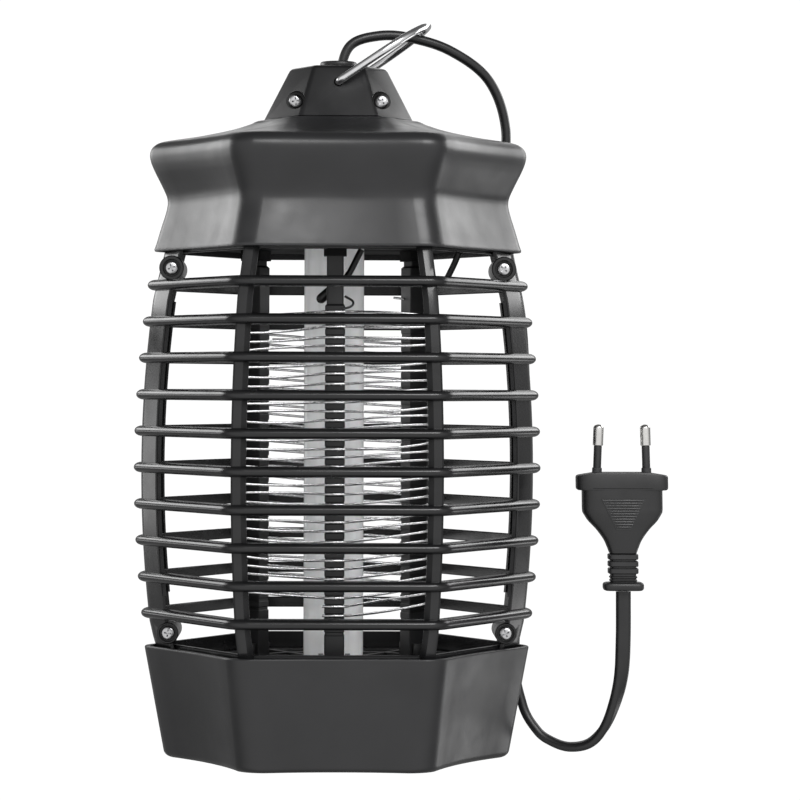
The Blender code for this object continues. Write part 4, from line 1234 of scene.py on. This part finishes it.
def make_plug():
    """The moulding, with a ridged shield and a groove across the flange on each face."""
    ridge_top, ridge_pitch, ridge_count = 98.3, 1.02, 11
    groove_half, groove_low, groove_high, groove_floor, outside = 11.5, 102.75, 103.0, 6.4, 8
    outlines = [oval(*row) for row in plug_sections()] + plug_top()
    body = loft("plug_moulding", outlines, MATERIALS["plug"], sharp=40)
    for face in (-1, 1):
        merge(body, [grip_panel(face)], sharp=40)
        levels = [ridge_top - ridge_pitch * line for line in range(ridge_count)]
        merge(body, [grip_ridge(z, face) for z in levels], sharp=40)
        low = (PLUG_X - groove_half, face * groove_floor, groove_low)
        cut(body, [box_rows(low, (PLUG_X + groove_half, face * outside, groove_high))], sharp=40)
    install(body, "cord_pvc", "plug_body")
    for side, sign in (("left", -1), ("right", 1)):
        make_pin(side, sign)


def make_pin(side, sign):
    """A metal pin in a black sleeve with a foot collar, leaning in towards its twin."""
    tip = cad_high(f"plug_pin_{side}").z - PLUG_TOP
    bare, radius, sleeve, collar, bore = tip - 8.2, 2.0, 1.55, 1.9, 1.15
    core, nose_length, ease, lean_degrees = 1.0, 1.5, 0.15, 1.9
    foot = Vector((PLUG_X + sign * PIN_SPACING / 2, 0, PLUG_TOP)) * MM
    lean = Matrix.Translation(foot) @ Matrix.Rotation(-sign * math.radians(lean_degrees), 4, "Y")
    shank = [(core, -6), (core, bare), (radius - ease, bare), (radius, bare + ease)]
    angles = (0.0, 0.3, 0.6, 0.9, 1.2, 1.45)
    nose = [(radius * math.cos(a), tip + nose_length * (math.sin(a) - 1)) for a in angles]
    pin = lathe(f"{side}_pin", [*shank, *nose], MATERIALS["nickel"])
    profile = [(collar, -1), (collar, 1.5), (collar - ease, 1.7), (sleeve, 1.75)]
    profile += [(sleeve, bare - 0.2), (sleeve - ease, bare - 0.05), (bore, bare - 0.05), (bore, -1)]
    cover = lathe(f"{side}_sleeve", profile, MATERIALS["sleeve"], closed=True)
    for item in (pin, cover):
        item.data.transform(lean)
    install(pin, "pin_nickel", f"plug_pin_{side}")
    install(cover, "sleeve_plastic", f"pin_sleeve_{side}")


# ---- light and camera ----


def make_world():
    """White to the camera; as light, brighter in front, dim at the back and high up."""
    backdrop = 1.05
    world = bpy.data.worlds.new("studio")
    world.use_nodes = True
    tree = world.node_tree
    tree.nodes.clear()
    place = tree.nodes.new("ShaderNodeTexCoord")
    split = tree.nodes.new("ShaderNodeSeparateXYZ")
    front = range_node(tree, -0.7, 0.1, 0.9, 0.3)
    height = range_node(tree, 0.3, 0.8, 1.0, 0.4)
    front.interpolation_type = height.interpolation_type = "SMOOTHSTEP"
    dimmed = tree.nodes.new("ShaderNodeMath")
    dimmed.operation = "MULTIPLY"
    seen = tree.nodes.new("ShaderNodeLightPath")
    pick = tree.nodes.new("ShaderNodeMix")
    pick.inputs["B"].default_value = backdrop
    background = tree.nodes.new("ShaderNodeBackground")
    background.inputs["Color"].default_value = (1, 1, 1, 1)
    output = tree.nodes.new("ShaderNodeOutputWorld")
    link = tree.links.new
    link(place.outputs["Generated"], split.inputs["Vector"])
    link(split.outputs["Y"], front.inputs["Value"])
    link(split.outputs["Z"], height.inputs["Value"])
    link(front.outputs["Result"], dimmed.inputs[0])
    link(height.outputs["Result"], dimmed.inputs[1])
    link(dimmed.outputs["Value"], pick.inputs["A"])
    link(seen.outputs["Is Camera Ray"], pick.inputs["Factor"])
    link(pick.outputs["Result"], background.inputs["Strength"])
    link(background.outputs["Background"], output.inputs["Surface"])
    bpy.context.scene.world = world


def add_light(name, place, size, brightness, target):
    """A soft box aimed at a point, in metres; brightness is relative to a white backdrop of 1."""
    data = bpy.data.lights.new(name, "AREA")
    data.shape = "RECTANGLE"
    data.size, data.size_y = size
    data.energy = brightness * math.pi * size[0] * size[1]
    light = bpy.data.objects.new(name, data)
    light.location = place
    facing = Vector(target) - Vector(place)
    light.rotation_euler = facing.to_track_quat("-Z", "Y").to_euler()
    bpy.context.scene.collection.objects.link(light)


def make_lights():
    """Side boxes for the slanted faces, one for the hood's front right and one for its dome."""
    left_z, right_z, far_z = 0.32, 0.34, 0.1
    add_light("left_box", (-0.4, 0.23, left_z), (0.34, 0.2), 3.7, (0, 0, left_z))
    add_light("right_box", (0.4, 0.23, right_z), (0.34, 0.22), 3.4, (0, 0, right_z))
    add_light("left_far_box", (-0.87, 0.5, far_z), (0.5, 0.18), 1.7, (0, 0, far_z))
    add_light("right_low_box", (0.9, 0.5, -0.22), (0.5, 0.3), 1.6, (0, 0, 0.02))
    add_light("front_right_box", (0.41, -0.94, 0.8), (0.84, 0.42), 9.0, (0, 0, 0.2))
    add_light("back_high_box", (0.25, 1.0, 0.68), (1.1, 0.34), 1.3, (0, 0, 0.24))


def make_camera():
    """Level with the middle of the lantern and turned slightly towards the plug."""
    roll = math.radians(0.18)
    data = bpy.data.cameras.new("camera")
    data.lens = 146.9
    data.clip_end = 50
    camera = bpy.data.objects.new("camera", data)
    place = Vector((0, -1.25, 0.1427))
    aim = Vector((0.0239, 0, 0.1364))
    camera.location = place
    facing = (aim - place).to_track_quat("-Z", "Y").to_matrix()
    camera.rotation_euler = (facing @ Matrix.Rotation(roll, 3, "Z")).to_euler()
    bpy.context.scene.collection.objects.link(camera)
    bpy.context.scene.camera = camera


make_tray()
make_hood()
make_cage()
make_screws()
make_cap()
make_bail()
make_grommet()
make_grille()
make_ceiling()
make_lamp()
make_electronics()
make_grid()
make_leads()
make_cord()
make_plug()
make_world()
make_lights()
make_camera()
bpy.context.scene.view_settings.view_transform = "Standard"
